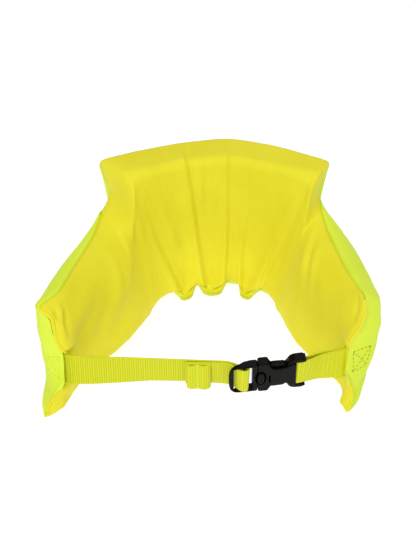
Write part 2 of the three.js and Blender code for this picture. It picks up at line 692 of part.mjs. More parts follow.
const belt = new THREE.Group();
belt.position.set(-BOX_MIDDLE.x, -BOX_MIDDLE.y, 0);
belt.add(
  piece("float_body", withPockets(floatGeometry()), LIME),
  piece("inner_lining", withPockets(liningGeometry()), YELLOW),
  piece("strap_long", longStrapGeometry(), WEBBING),
  piece("strap_short", shortStrapGeometry(), WEBBING),
  buckle,
);

export default belt;
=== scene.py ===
"""Neoprene swim belt: the looks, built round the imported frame.

Shapes are worked out in millimetres as whole arrays and put into meshes in metres, in the belt's own frame.
The float is a row of sections along its top seam, the straps follow routes in front of it, and the buckle
lies in a tilted frame of its own on the strap.
"""
from __future__ import annotations

import logging
from collections.abc import Callable, Sequence
from dataclasses import dataclass, field
from enum import Enum
from functools import cached_property

import bpy
import numpy as np
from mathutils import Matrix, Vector
from numpy.typing import NDArray


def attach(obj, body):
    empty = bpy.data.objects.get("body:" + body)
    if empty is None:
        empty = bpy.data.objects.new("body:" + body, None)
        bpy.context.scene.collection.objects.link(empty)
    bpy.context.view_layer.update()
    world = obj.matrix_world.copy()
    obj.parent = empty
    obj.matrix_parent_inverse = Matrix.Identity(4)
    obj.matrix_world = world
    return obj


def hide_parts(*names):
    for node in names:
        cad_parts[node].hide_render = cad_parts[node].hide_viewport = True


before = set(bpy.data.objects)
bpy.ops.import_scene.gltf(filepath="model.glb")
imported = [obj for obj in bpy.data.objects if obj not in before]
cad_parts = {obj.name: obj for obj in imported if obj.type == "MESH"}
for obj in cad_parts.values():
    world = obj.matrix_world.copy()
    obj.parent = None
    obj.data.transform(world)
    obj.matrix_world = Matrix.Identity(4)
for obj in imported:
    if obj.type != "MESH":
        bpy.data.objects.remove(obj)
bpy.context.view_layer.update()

Array = NDArray[np.float64]
Colour = tuple[float, float, float, float]
Pair = tuple[float, float]
Triple = tuple[float, float, float]
LOG = logging.getLogger("swim_belt")
MM = 0.001
BODY = "root"

# Middle of the belt's outer box in the tables' own coordinates
BOX_MIDDLE = np.array([0.8, -2.0, 0.0])

# Cloth and webbing sizes in millimetres
LINING_WALL = 2.0
SEAM_GAP = 0.4
HEM_HEIGHT = 4.0
STRAP_WIDTH = 25.0
STRAP_THICKNESS = 1.4

# Sections of the float from the left flap round the back to the right flap.
# x, y, high: place of the top seam. ix, iy: upper edge of the inner face. bx, by: its lower edge.
# out: how far the outer face stands past the seam. ox, oy: shift of the outer face at the floor.
# top: height of the rounded inner top edge. turn, arc: angle and length of the lining's roll at the hem.
SECTION_COLUMNS = ("x", "y", "high", "ix", "iy", "bx", "by", "out", "ox", "oy", "top", "turn", "arc")
SECTIONS = np.array([
    (-118, -84, 86, -114.4, -86.0, -112.4, -100.5, 4, 2, -14, 8, 2, 10),
    (-116, -81, 87, -111.5, -83.5, -107.5, -97.5, 9, 2, -12, 12, 4, 13),
    (-112, -75, 87, -106.5, -77.5, -100.0, -87.0, 13, 2, -10, 18, 16, 15),
    (-107, -67, 87, -100.4, -69.5, -92.0, -75.5, 15, 2, -7, 24, 48, 17),
    (-104, -58, 87, -95.4, -60.8, -87.0, -65.0, 16, 2, -4, 28, 70, 20),
    (-99, -35, 86, -86.0, -37.9, -75.5, -50.0, 15, 4, -2, 30, 75, 22),
    (-92, -10, 86, -75.5, -14.5, -63.0, -34.5, 13, 6, -2, 30, 78, 23),
    (-86, 15, 86, -67.5, 7.0, -52.5, -18.0, 8, 8, -3, 28, 75, 23),
    (-82, 42, 88, -65.0, 23.0, -45.0, -0.5, 3.5, 10, -4, 24, 66, 22),
    (-77, 58, 98, -62.5, 34.0, -41.5, 13.5, 3, 14, -5, 16, 60, 21),
    (-84, 68, 119, -58.8, 41.5, -38.5, 25.0, 3, 18, -6, 9, 62, 19),
    (-68, 77, 120, -50.5, 47.5, -35.0, 35.0, 3, 14, -5, 7, 66, 18),
    (-53, 84, 120, -39.7, 52.7, -29.0, 46.0, 3, 8, -4, 7, 68, 16),
    (-14, 96, 121, -9.9, 62.3, -10.9, 60.0, 3, 3, -4, 7, 70, 16),
    (14, 99, 122, 14.0, 65.0, 11.0, 63.0, 3, -2, -4, 7, 70, 16),
    (44, 93, 121, 36.9, 59.7, 29.0, 59.0, 3, -5, -4, 7, 70, 16),
    (76, 78, 120, 65.0, 49.0, 42.5, 46.0, 3, -12, -4, 7, 66, 18),
    (94.5, 66, 119, 82.0, 41.0, 48.0, 32.0, 3, -18, -4, 9, 62, 19),
    (86, 56, 98, 80.0, 32.0, 50.0, 20.5, 3, -14, -2, 16, 60, 21),
    (88, 44, 88, 76.0, 24.0, 52.0, 9.5, 9.5, -10, 0, 24, 66, 22),
    (90.6, 20, 86, 74.0, 8.0, 56.0, -5.5, 18, -9, 0, 28, 75, 23),
    (96, -10, 86, 81.0, -16.0, 62.0, -23.5, 21.5, -8, 0, 30, 78, 23),
    (100.5, -33, 86, 89.5, -36.5, 71.0, -41.0, 21, -6, 0, 30, 75, 22),
    (106, -55, 87, 99.0, -57.8, 85.5, -61.5, 18, -4, -4, 28, 70, 20),
    (108.5, -64, 88, 102.6, -66.6, 92.0, -72.5, 16.5, -6, -8, 24, 48, 17),
    (111, -70, 89, 105.5, -72.8, 95.5, -82.4, 14, -9, -11, 18, 14, 15),
    (112, -75, 89, 107.5, -77.8, 97.0, -90.8, 13, -12, -14, 12, 4, 13),
    (112, -78, 89, 108.5, -80.4, 97.5, -95.6, 10, -14, -16, 8, 2, 10),
])

# Flap edges drawn in by the straps and folded at their corners: height, shift of the lining's edge in x
# and in y, and shift of the outer face in x
LEFT_EDGE = np.array([
    (0, -2.6, 0, -1.8), (10, -1, 0.5, 3.2), (15, 2.4, 1.1, 6.2), (21, 9, 2.2, 7), (28, 13.8, 2.8, 7.4),
    (36, 14.1, 2.8, 5.8), (49, 14.4, 2.6, 5.2), (55, 11, 2, 4), (61, 8.4, 1.4, 3), (72, 7, 0.6, 2.4),
    (79, 6, 0.2, 2.2), (86, -1, 0, -0.5),
])
RIGHT_EDGE = np.array([
    (0, 1.4, 0, 2.2), (8, 4, 0.6, -1.6), (13, 4.6, 1.1, -4.2), (18, 3.4, 1.9, -2.4),
    (24, 0.7, 2.8, -0.6), (31, -2.8, 3.6, 0.4), (51, -4.1, 3.6, 1), (61, -1.9, 2.2, 2),
    (68, 1.5, 1.2, 0.8), (80, 2.9, 0.3, -0.5), (89, -1.8, 0, -2.6),
])

# Sewn squares on the flap faces: share across the face and height of each corner
LEFT_SQUARE = np.array([(0.2, 44.4), (0.7, 46.8), (0.63, 29.1), (0.06, 31.3)])
RIGHT_SQUARE = np.array([(0.7, 45.7), (0.1, 45.4), (0.06, 29.6), (0.53, 29.0)])


class Slot(Enum):
    """Material slots of the record."""

    LIME = "lime_neoprene"
    YELLOW = "yellow_neoprene"
    WEBBING = "webbing"
    BUCKLE = "buckle_plastic"


def clamped(value: Array) -> Array:
    """The value held between 0 and 1."""
    return np.clip(value, 0.0, 1.0)


def unit(vectors: Array) -> Array:
    """The vectors, which lie along the last axis, at length 1."""
    return vectors / np.linalg.norm(vectors, axis=-1, keepdims=True)


def distance_along(lines: Array) -> Array:
    """Distance of each point from the first of its line, with a line's points on the last axis but one."""
    steps = np.linalg.norm(np.diff(lines, axis=-2), axis=-1)
    return np.concatenate([np.zeros_like(lines[..., :1, 0]), np.cumsum(steps, -1)], -1)


def rows_at(place: Array, places: Array, rows: Array) -> Array:
    """Rows of a table read at new places, in straight steps between its own."""
    return np.stack([np.interp(place, places, column) for column in rows.T], 1)


def bell(reach: int, step: float, width: float) -> Array:
    """Weights of a normal curve at a number of steps to either side of its middle, adding up to 1."""
    weights = np.exp(-0.5 * (np.arange(-reach, reach + 1) * step / width) ** 2)
    return weights / weights.sum()


def circle(count: int) -> Array:
    """Angles spread evenly round a circle, without the one that closes it."""
    return np.linspace(0.0, 2.0 * np.pi, count, endpoint=False)


def signed_power(value: Array, power: float) -> Array:
    """A power of the value's size with its sign, which turns a sine or cosine toward a square's."""
    return np.sign(value) * np.abs(value) ** power


def smooth(value: Array) -> Array:
    """Eased step from 0 to 1: 3t² - 2t³ on the clamped value."""
    t = clamped(value)
    return t * t * (3.0 - 2.0 * t)


def linear(red: int, green: int, blue: int) -> Colour:
    """A colour read off a screen as 0 to 255, as linear light with full alpha."""
    share = np.array([red, green, blue]) / 255.0
    light = np.where(share <= 0.04045, share / 12.92, ((share + 0.055) / 1.055) ** 2.4)
    return (*light.tolist(), 1.0)


class EasedCurve:
    """Cubic curve without overshoot through values at rising places."""

    def __init__(self, places: Array, values: Array) -> None:
        """Finds the tangents.

        Args:
            places: rising places, at least two.
            values: value at each place. An inner tangent is the weighted harmonic mean of the slopes
                beside it, or zero where they differ in sign.
        """
        self.places = np.asarray(places, float)
        self.values = np.asarray(values, float)
        self.steps = np.diff(self.places)
        slopes = np.diff(self.values) / self.steps
        before = 2.0 * self.steps[1:] + self.steps[:-1]
        after = self.steps[1:] + 2.0 * self.steps[:-1]
        alike = slopes[:-1] * slopes[1:] > 0.0
        low = np.where(alike, slopes[:-1], 1.0)
        high = np.where(alike, slopes[1:], 1.0)
        inner = np.where(alike, (before + after) / (before / low + after / high), 0.0)
        self.tangents = np.concatenate([slopes[:1], inner, slopes[-1:]])

    def __call__(self, place: Array) -> Array:
        """The curve's value at each place, held at the end values outside.

        Args:
            place: places of any shape.

        Returns:
            Values of the same shape.
        """
        i = np.clip(np.searchsorted(self.places, place, side="right") - 1, 0, len(self.steps) - 1)
        step = self.steps[i]
        t = clamped((place - self.places[i]) / step)
        rise = smooth(t)
        leave = t * (1.0 - t) ** 2 * step
        arrive = t * t * (t - 1.0) * step
        return (self.values[i] * (1.0 - rise) + self.values[i + 1] * rise
                + self.tangents[i] * leave + self.tangents[i + 1] * arrive)


def grid_faces(rows: int, columns: int, wrap: bool = False) -> NDArray[np.int64]:
    """Quads between neighbouring points of a grid.

    Args:
        rows: number of rows of points.
        columns: number of points in a row.
        wrap: whether the last column joins the first.

    Returns:
        Indices, four to a face.
    """
    i, j = np.meshgrid(np.arange(rows - 1), np.arange(columns if wrap else columns - 1), indexing="ij")
    here = i * columns + j
    beside = i * columns + (j + 1) % columns
    return np.stack([here, beside, beside + columns, here + columns], -1).reshape(-1, 4)


def signed_volume(points: Array, faces: NDArray[np.int64]) -> float:
    """Six times the volume that quads enclose, negative where they point inward."""
    a, b, c, d = (points[faces[:, k]] for k in range(4))
    first = np.einsum("ij,ij->i", a, np.cross(b, c))
    second = np.einsum("ij,ij->i", a, np.cross(c, d))
    return float((first + second).sum())


@dataclass
class Surface:
    """Points in millimetres and the quads between them, with values that a finish reads.

    uv holds a place on the cloth in millimetres, and each entry of values is one number per point.
    """

    points: Array
    faces: NDArray[np.int64]
    uv: Array | None = None
    values: dict[str, Array] = field(default_factory=dict)

    def outward(self) -> Surface:
        """The same surface with its faces pointing out of the volume that it closes."""
        if signed_volume(self.points, self.faces) < 0.0:
            self.faces = self.faces[:, ::-1].copy()
        return self

    @staticmethod
    def joined(parts: Sequence[Surface]) -> Surface:
        """Several surfaces as one, in order.

        Args:
            parts: surfaces, all with or all without uv and values.

        Returns:
            One surface holding all the points and faces.
        """
        starts = np.cumsum([0] + [len(part.points) for part in parts[:-1]])
        return Surface(
            points=np.concatenate([part.points for part in parts]),
            faces=np.concatenate([part.faces + start for part, start in zip(parts, starts)]),
            uv=None if parts[0].uv is None else np.concatenate([part.uv for part in parts]),
            values={name: np.concatenate([part.values[name] for part in parts]) for name in parts[0].values},
        )

    def piece(self, name: str, material: bpy.types.Material, slot: Slot, node: str) -> bpy.types.Object:
        """Puts the surface into a mesh object that rides with the belt.

        Args:
            name: the object's name.
            material: its finish.
            slot: the record's slot that the finish belongs to; not used.
            node: CAD node that the piece stands for.

        Returns:
            The new object, smooth shaded, at the origin.
        """
        mesh = bpy.data.meshes.new(name)
        mesh.vertices.add(len(self.points))
        mesh.vertices.foreach_set("co", (self.points * MM).astype(np.float32).ravel())
        mesh.loops.add(self.faces.size)
        mesh.loops.foreach_set("vertex_index", self.faces.astype(np.int32).ravel())
        mesh.polygons.add(len(self.faces))
        mesh.polygons.foreach_set("loop_start", np.arange(0, self.faces.size, 4, dtype=np.int32))
        mesh.update(calc_edges=True)
        mesh.polygons.foreach_set("use_smooth", np.ones(len(self.faces), bool))
        if self.uv is not None:
            layer = mesh.uv_layers.new(name="cloth")
            layer.data.foreach_set("uv", self.uv[self.faces.ravel()].astype(np.float32).ravel())
        for label, values in self.values.items():
            attribute = mesh.attributes.new(label, "FLOAT", "POINT")
            attribute.data.foreach_set("value", values.astype(np.float32))
        mesh.validate()
        mesh.materials.append(material)
        piece = bpy.data.objects.new(name, mesh)
        bpy.context.scene.collection.objects.link(piece)
        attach(piece, BODY)
        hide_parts(node)
        LOG.info("%s: %d points, %d faces", name, len(self.points), len(self.faces))
        return piece


@dataclass(frozen=True)
class Scallop:
    """A stretch of hem that rolls inward: its middle and half width along the seam, and its turn.

    flute tells whether the cloth above it is gathered into a flute.
    """

    middle: float
    reach: float
    turn: float
    flute: bool = False


SCALLOP_ROUND = 0.5
SCALLOPS = (
    Scallop(132, 34, -20),
    Scallop(238.2, 16, -136, flute=True),
    Scallop(271.2, 14, -136, flute=True),
    Scallop(316.2, 15, -136, flute=True),
    Scallop(403, 22, -18),
)


@dataclass
class Section:
    """Sections of the float at places along the seam, as columns of one value each."""

    place: Array
    high: Array
    inner: Array
    out: Array
    top: Array
    arc: Array
    roll: Array
    seam: Array
    across: Array
    inner_foot: Array
    outer_foot: Array
    top_end: Array
    top_drop: Array
    hem: Array


@dataclass
class Line:
    """Points of a cloth line in each section: offset outward from the seam, height, and the way to its back.

    travelled is the distance from the line's first point.
    """

    out: Array
    z: Array
    back_out: Array
    back_z: Array
    travelled: Array

    def moved(self, depth: Array | float) -> tuple[Array, Array]:
        """Offset and height of the line moved toward its back by a depth."""
        return self.out + self.back_out * depth, self.z + self.back_z * depth


@dataclass(frozen=True)
class LiningCells:
    """Shares along each stretch of the lining's line at which it is cut."""

    roll: Array
    face: Array
    edge: Array
    top: Array


class BeltForm:
    """The float's form: sections along the top seam, and the place in space of a point of a section."""

    inner_foot_power = 0.8
    outer_foot_power = 1.8
    block_foot_power = 0.7
    square_top = 7.0
    square_fade = 10.0
    least_roll = 0.001
    edge_reach = 26.0
    cover_from = (128.0, 142.0)
    cover_to = (391.0, 405.0)
    cover_past = 0.8
    cover_drop = 4.5
    cover_round = 8.0
    flap_hem_drop = 3.2
    flap_hem_reach = 30.0
    recess_depth = 6.0
    recess_reach = 17.0
    recess_low = 23.5
    recess_high = 49.0
    recess_fade = 4.0
    recess_edge = 2.5
    right_run_out = 4.5
    right_lift = 4.0
    ease_step = 0.5
    ease = {"ix": 5.0, "iy": 5.0, "bx": 4.0, "by": 4.0, "top": 5.0, "high": 1.5, "x": 2.0, "y": 2.0}

    def __init__(self) -> None:
        """Makes smooth curves of the section and edge tables."""
        self.places = distance_along(SECTIONS[:, :3])
        self.length = float(self.places[-1])
        curves = {name: EasedCurve(self.places, SECTIONS[:, i]) for i, name in enumerate(SECTION_COLUMNS)}
        self.curves = {name: self.softened(curve, self.ease.get(name, 0.0))
                       for name, curve in curves.items()}
        self.left = [EasedCurve(LEFT_EDGE[:, 0], LEFT_EDGE[:, k]) for k in (1, 2, 3)]
        self.right = [EasedCurve(RIGHT_EDGE[:, 0], RIGHT_EDGE[:, k]) for k in (1, 2, 3)]

    def softened(self, curve: EasedCurve, width: float) -> Callable[[Array], Array]:
        """A curve averaged under a bell of some width, turned over at its ends so that they stay.

        Args:
            curve: the curve along the seam.
            width: the bell's width, or 0 for the curve itself.

        Returns:
            The softened curve.
        """
        if width == 0.0:
            return curve
        place = np.arange(0.0, self.length + self.ease_step, self.ease_step)
        value = curve(place)
        reach = int(3 * width / self.ease_step)
        weights = bell(reach, self.ease_step, width)
        before = 2.0 * value[0] - value[reach:0:-1]
        after = 2.0 * value[-1] - value[-2:-reach - 2:-1]
        soft = np.convolve(np.concatenate([before, value, after]), weights, "valid")
        return lambda at: np.interp(at, place, soft)

    def sections(self, place: Array) -> Section:
        """Sections at places along the seam.

        Args:
            place: places, one dimension.

        Returns:
            The sections, each value a column so that it spreads over a row of points.
        """
        value = {name: curve(place)[:, None] for name, curve in self.curves.items()}
        seam = np.stack([value["x"], value["y"]], -1)
        upper = np.stack([value["ix"], value["iy"]], -1)
        lower = np.stack([value["bx"], value["by"]], -1)
        inner = np.linalg.norm(seam - upper, axis=-1)
        turn = value["turn"].copy()
        for scallop in SCALLOPS:
            away = np.minimum(1.0, np.abs(place - scallop.middle) / scallop.reach)[:, None]
            turn += scallop.turn * (1.0 - away ** 2) ** SCALLOP_ROUND
        roll = np.radians(turn)
        first, last = self.cover_from, self.cover_to
        cover = (smooth((place - first[0]) / (first[1] - first[0]))
                 * smooth((last[1] - place) / (last[1] - last[0])))[:, None]
        end = np.minimum(place, self.length - place)
        return Section(
            place=place[:, None], high=value["high"], inner=inner, out=value["out"], top=value["top"],
            arc=value["arc"], seam=seam,
            roll=np.where(np.abs(roll) < self.least_roll, self.least_roll, roll),
            across=(seam - upper) / inner[..., None], inner_foot=lower - upper,
            outer_foot=np.stack([value["ox"], value["oy"]], -1),
            top_end=cover * (value["out"] + self.cover_past), top_drop=cover * self.cover_drop,
            hem=HEM_HEIGHT - self.flap_hem_drop * smooth(1.0 - end / self.flap_hem_reach)[:, None],
        )

    def strap_recess(self, place: Array, z: Array) -> Array:
        """Depth of the dents in the lining where the straps come out at the flap edges.

        The right one begins higher, and runs out before the very edge.

        Args:
            place: places along the seam.
            z: heights.

        Returns:
            Depth at each point.
        """
        end = np.minimum(place, self.length - place)
        low = self.recess_low + self.right_lift * (place > 0.5 * self.length)
        above = smooth((z - low) / self.recess_fade + 1.0)
        below = smooth((self.recess_high - z) / self.recess_fade + 1.0)
        inward = smooth(1.0 - end / self.recess_reach) * smooth((self.length - place) / self.right_run_out)
        return self.recess_depth * inward * above * below

    def lining_line(self, section: Section, cells: LiningCells) -> Line:
        """Lining's line from the hem to the seam: a roll arc, the inner face, a quarter ellipse, the top.

        The roll's point at a share is out = -inner + r(1 - cos a), z = low - r sin a, with a falling from
        the roll angle to zero and r the arc's length over that angle.

        Args:
            section: the sections.
            cells: where each stretch is cut.

        Returns:
            The line, one row for each section.
        """
        radius = section.arc / section.roll
        low = section.hem + radius * np.sin(section.roll)
        square = 1.0 - clamped((section.top - self.square_top) / self.square_fade)
        edge = section.inner * (1.0 - square) + np.minimum(self.square_top, section.inner) * square
        face_top = section.high - section.top
        angle = section.roll * (1.0 - cells.roll)
        round_edge = 0.5 * np.pi * cells.edge
        ones = np.ones_like(section.inner)
        top_out = -section.inner + edge + (section.inner + section.top_end - edge) * cells.top
        over = clamped((top_out - section.top_end) / self.cover_round + 1.0)
        lean = np.arctan(2.0 * section.top_drop * over / self.cover_round)
        out = [
            -section.inner + radius * (1.0 - np.cos(angle)),
            -section.inner * np.ones_like(cells.face),
            -section.inner + edge * (1.0 - np.cos(round_edge)),
            top_out,
        ]
        z = [
            low - radius * np.sin(angle),
            low + (face_top - low) * cells.face,
            face_top + section.top * np.sin(round_edge),
            section.high - section.top_drop * over ** 2,
        ]
        back_out = [np.cos(angle), ones * np.ones_like(cells.face), ones * np.cos(round_edge), -np.sin(lean)]
        back_z = [np.sin(angle), ones * np.zeros_like(cells.face), -ones * np.sin(round_edge), -np.cos(lean)]
        out_all, z_all = np.concatenate(out, 1), np.concatenate(z, 1)
        travelled = distance_along(np.stack([out_all, z_all], -1))
        return Line(out_all, z_all, np.concatenate(back_out, 1), np.concatenate(back_z, 1), travelled)

    def spot(self, section: Section, out: Array, z: Array) -> Array:
        """Place in space of points given by their offset outward from the seam and their height.

        The inner and outer faces come in toward the floor by their own powers of the drop from the seam,
        and the flap edges take the shifts of their tables, fading along the seam.

        Args:
            section: the sections, one for each row.
            out: offsets.
            z: heights.

        Returns:
            Points in the belt's frame.
        """
        drop = clamped(1.0 - z / section.high)
        inward = smooth((section.out - out) / (section.out + section.inner))
        inner = (inward * drop ** self.inner_foot_power)[..., None]
        covered = section.top_drop / self.cover_drop
        power = self.outer_foot_power + (self.block_foot_power - self.outer_foot_power) * covered
        outer = ((1.0 - inward) * drop ** power)[..., None]
        left = smooth(1.0 - section.place / self.edge_reach)
        right = smooth(1.0 - (self.length - section.place) / self.edge_reach)
        lining_x, both_y, outer_x = (left * a(z) + right * b(z) for a, b in zip(self.left, self.right))
        shift = np.stack([outer_x + (lining_x - outer_x) * inward, both_y], -1)
        flat = (section.seam + section.across * out[..., None] + section.inner_foot * inner
                + section.outer_foot * outer + shift)
        return np.concatenate([flat, z[..., None]], -1) - BOX_MIDDLE


@dataclass(frozen=True)
class Ridge:
    """A soft fold of the lining along a curve through three points of seam place and height.

    rise is its height at the three points, negative for a furrow. left and right are its half widths on the
    sides of the smaller and the larger place. crease is the depth, as a share of the rise, of a crease that
    runs along its right foot, at crease_at times the right half width. Nothing is left at far half widths.
    """

    foot: Pair
    middle: Pair
    head: Pair
    rise: Triple
    left: float
    right: float
    crease: float = 0.0
    crease_at: float = 1.8
    far: float = 4.0

    def height(self, place: Array, z: Array, steps: int = 64) -> Array:
        """Height of the fold: rise(t) exp(-(across/width)²), fading past both ends.

        Args:
            place: seam places of the cloth's points.
            z: their heights.
            steps: samples along the curve.

        Returns:
            Height at each point.
        """
        t = np.linspace(0.0, 1.0, steps)
        weights = np.stack([(1 - t) * (1 - 2 * t), 4 * t * (1 - t), t * (2 * t - 1)], 1)
        curve = weights @ np.array([self.foot, self.middle, self.head])
        rise = weights @ np.array(self.rise)
        tangent = unit(np.gradient(curve, axis=0))
        reach = self.far * max(self.left, self.right)
        low, high = curve.min(0) - reach, curve.max(0) + reach
        near = (place > low[0]) & (place < high[0]) & (z > low[1]) & (z < high[1])
        height = np.zeros_like(z)
        away = np.stack([place[near], z[near]], -1)[:, None] - curve
        i = np.argmin((away ** 2).sum(-1), 1)
        offset = away[np.arange(len(i)), i]
        across = offset[:, 0] * tangent[i, 1] - offset[:, 1] * tangent[i, 0]
        along = (offset * tangent[i]).sum(1)
        width = np.where(across < 0.0, self.left, self.right)
        past = np.where((i == 0) | (i == steps - 1), along, 0.0)
        crest = np.exp(-(across / width) ** 2)
        crease = self.crease * np.exp(-((across - self.crease_at * self.right) / self.right) ** 2)
        height[near] = rise[i] * (crest - crease) * np.exp(-(past / (self.left + self.right)) ** 2)
        return height


RIDGES = (
    Ridge((220.2, 14), (201.2, 47), (189.6, 78), (3.4, 2.0, 0.4), 9, 3.4, 0.35),
    Ridge((236.2, 34), (220.2, 66), (209.2, 96), (0.4, 1.0, 0.3), 8, 4, 0.2),
    Ridge((260.2, 10), (251.2, 62), (241.2, 118), (4.2, 3.2, 1.8), 9, 3.2, 0.4),
    Ridge((282.2, 10), (282.7, 62), (280.2, 116), (3.6, 2.2, 1.6), 7, 3.2, 0.4),
    Ridge((304.2, 12), (303.2, 52), (309.2, 90), (2.8, 1.8, 0.4), 6, 3.4, 0.35),
    Ridge((333.2, 12), (349.5, 62), (356, 108), (3.6, 2.0, 0.4), 8, 3.8, 0.35),
    Ridge((259.2, 80), (258.2, 96), (258.2, 114), (0.1, 0.8, 0.5), 4, 2.4, 0.3),
    Ridge((272.2, 60), (271.2, 77), (271.2, 94), (0.1, 0.8, 0.3), 5, 2.8, 0.3),
    Ridge((288.2, 80), (291.2, 94), (294.2, 108), (0.1, 0.7, 0.3), 5, 2.8, 0.3),
    Ridge((62, 42), (118, 66), (162, 101), (0.8, 3.4, 2.6), 12, 9),
    Ridge((9, 60), (32, 66), (60, 73), (1.2, 3.2, 0.6), 8, 7),
    Ridge((8, 78), (18, 84), (27, 87), (1.2, 1.4, 0.3), 4, 4),
    Ridge((3, 77), (6, 80.5), (10, 84), (-2.2, -3.0, -0.8), 2.6, 2.6),
    Ridge((9, 66), (12, 74), (19, 85), (-1.0, -2.6, -0.8), 2.4, 2.8),
    Ridge((113, 70), (122, 78), (131, 85), (-0.4, -1.1, -0.4), 4, 3),
    Ridge((100, 71), (110, 73), (118, 75), (0.1, 0.5, 0.2), 5, 5),
    Ridge((452, 64), (431, 78), (406, 88), (1.2, 2.4, 1.2), 6, 3, 0.4),
    Ridge((455, 66), (438, 81), (412, 88), (-0.8, -1.7, -1.0), 4, 4),
    Ridge((472, 62), (451, 78), (419, 88), (1.0, 2.2, 1.0), 4, 3.4, 0.4),
    Ridge((495, 57), (470, 74), (445, 86), (0.4, 1.6, 0.5), 9, 8),
    Ridge((526, 73), (524, 79), (522, 86), (-1.6, -3.2, -1.2), 2.2, 2.2),
    Ridge((8, 14), (8.5, 10), (9, 6), (-0.8, -1.4, -0.8), 2, 2),
    Ridge((7, 2), (6, 8), (4, 16), (3.0, 3.0, 0.5), 5, 4),
    Ridge((529.5, 2), (529, 9), (531, 22), (4.5, 4.0, 0.6), 3.4, 4),
    Ridge((519.5, 4), (520.5, 12), (523, 24), (-2.5, -3.0, -0.8), 4, 3),
    Ridge((530, 50), (529, 66), (530, 86), (0.4, 1.2, 0.4), 3.2, 3),
    Ridge((3, 60), (4, 68), (3, 76), (0.5, 2.0, 0.6), 3, 3),
    Ridge((70, 44), (86, 60), (96, 82), (0.6, 1.6, 0.4), 6, 6),
    Ridge((36, 40), (50, 52), (66, 64), (0.4, 1.4, 0.4), 7, 6),
)


def ripple(u: Array, v: Array, length: float) -> Array:
    """Slow unevenness of cloth: a sum of four crossing sine waves, near -1 to 1.

    Args:
        u: place along the cloth.
        v: place across it.
        length: wave length of the longest wave.

    Returns:
        Height at each place.
    """
    turns = 2.0 * np.pi / length
    return 0.25 * (
        np.sin(turns * (0.9 * u + 0.5 * v) + 0.4) + np.sin(turns * (1.3 * u - 1.1 * v) + 2.1)
        + np.sin(turns * (0.4 * u + 1.7 * v) + 4.0) + np.sin(turns * (1.9 * u + 0.8 * v) + 5.3)
    )


class NodeSheet:
    """A material's nodes, added and joined by name."""

    def __init__(self, name: str) -> None:
        """Starts a material with a Principled shader joined to its output."""
        self.material = bpy.data.materials.new(name)
        self.material.use_nodes = True
        self.tree = self.material.node_tree
        self.tree.nodes.clear()
        self.shader = self.tree.nodes.new("ShaderNodeBsdfPrincipled")
        output = self.tree.nodes.new("ShaderNodeOutputMaterial")
        self.join(self.shader, "BSDF", output, "Surface")

    def add(self, kind: str, **inputs: object) -> bpy.types.Node:
        """A new node of a kind, with values for its input sockets by name, spaces written as underscores."""
        node = self.tree.nodes.new(kind)
        for name, value in inputs.items():
            node.inputs[name.replace("_", " ")].default_value = value
        return node

    def join(self, source: bpy.types.Node, output: str | int,
             target: bpy.types.Node, name: str | int) -> None:
        """Joins an output socket to an input socket."""
        self.tree.links.new(source.outputs[output], target.inputs[name])

    def set(self, **inputs: object) -> None:
        """Sets values on the shader's own sockets, spaces written as underscores."""
        for name, value in inputs.items():
            self.shader.inputs[name.replace("_", " ")].default_value = value

    def noise(self, scale: float, detail: float, coordinates: bpy.types.Node, output: str) -> bpy.types.Node:
        """A noise texture on given coordinates."""
        noise = self.add("ShaderNodeTexNoise", Scale=scale, Detail=detail)
        self.join(coordinates, output, noise, "Vector")
        return noise

    def ramp(self, source: bpy.types.Node, output: str | int, low: tuple, high: tuple,
             start: float = 0.3, end: float = 0.7) -> bpy.types.Node:
        """A colour ramp from one colour to another over a span of a value."""
        ramp = self.tree.nodes.new("ShaderNodeValToRGB")
        ramp.color_ramp.elements[0].position = start
        ramp.color_ramp.elements[0].color = low
        ramp.color_ramp.elements[1].position = end
        ramp.color_ramp.elements[1].color = high
        self.join(source, output, ramp, "Fac")
        return ramp

    def bump(self, source: bpy.types.Node, output: str | int, strength: float, distance: float,
             before: bpy.types.Node | None = None) -> bpy.types.Node:
        """A bump from a height, over another bump if one is given."""
        bump = self.add("ShaderNodeBump", Strength=strength, Distance=distance)
        self.join(source, output, bump, "Height")
        if before is not None:
            self.join(before, "Normal", bump, "Normal")
        return bump


@dataclass(frozen=True)
class NeopreneFinish:
    """Nylon-faced neoprene: a fine knit on UV in millimetres, soft grain, and painted shade in the creases.
    """

    name: str
    light: Colour
    deep: Colour
    # painted shade colour for creases and seams
    crease: Colour
    sheen: Colour
    knit_scale: float = 6.283 / 20.0 / 0.8
    cloud_scale: float = 28.0
    grain_scale: float = 2600.0
    knit_bump: Pair = (0.10, 0.00012)
    grain_bump: Pair = (0.16, 0.00018)

    def material(self) -> bpy.types.Material:
        """The finish as a material that reads UV in millimetres, and the point value named crease, which
        mixes in the painted crease shade.
        """
        sheet = NodeSheet(self.name)
        place = sheet.add("ShaderNodeTexCoord")
        cloud = sheet.noise(self.cloud_scale, 3.0, place, "Object")
        tone = sheet.ramp(cloud, "Fac", self.deep, self.light)
        # painted shade: the crease value mixes the darker crease colour into the base colour
        mark = sheet.add("ShaderNodeAttribute")
        mark.attribute_name = "crease"
        mix = sheet.add("ShaderNodeMix")
        mix.data_type = "RGBA"
        sheet.join(mark, "Fac", mix, "Factor")
        sheet.join(tone, "Color", mix, 6)
        mix.inputs[7].default_value = self.crease
        sheet.join(mix, 2, sheet.shader, "Base Color")
        wale = sheet.add("ShaderNodeTexWave", Scale=self.knit_scale, Distortion=0.6)
        sheet.join(place, "UV", wale, "Vector")
        grain = sheet.noise(self.grain_scale, 2.0, place, "Object")
        knit = sheet.bump(wale, "Fac", *self.knit_bump)
        rough = sheet.bump(grain, "Fac", *self.grain_bump, knit)
        sheet.join(rough, "Normal", sheet.shader, "Normal")
        sheet.set(Roughness=0.72, Sheen_Weight=0.16, Sheen_Roughness=0.4, Sheen_Tint=self.sheen,
                  Specular_IOR_Level=0.25)
        return sheet.material


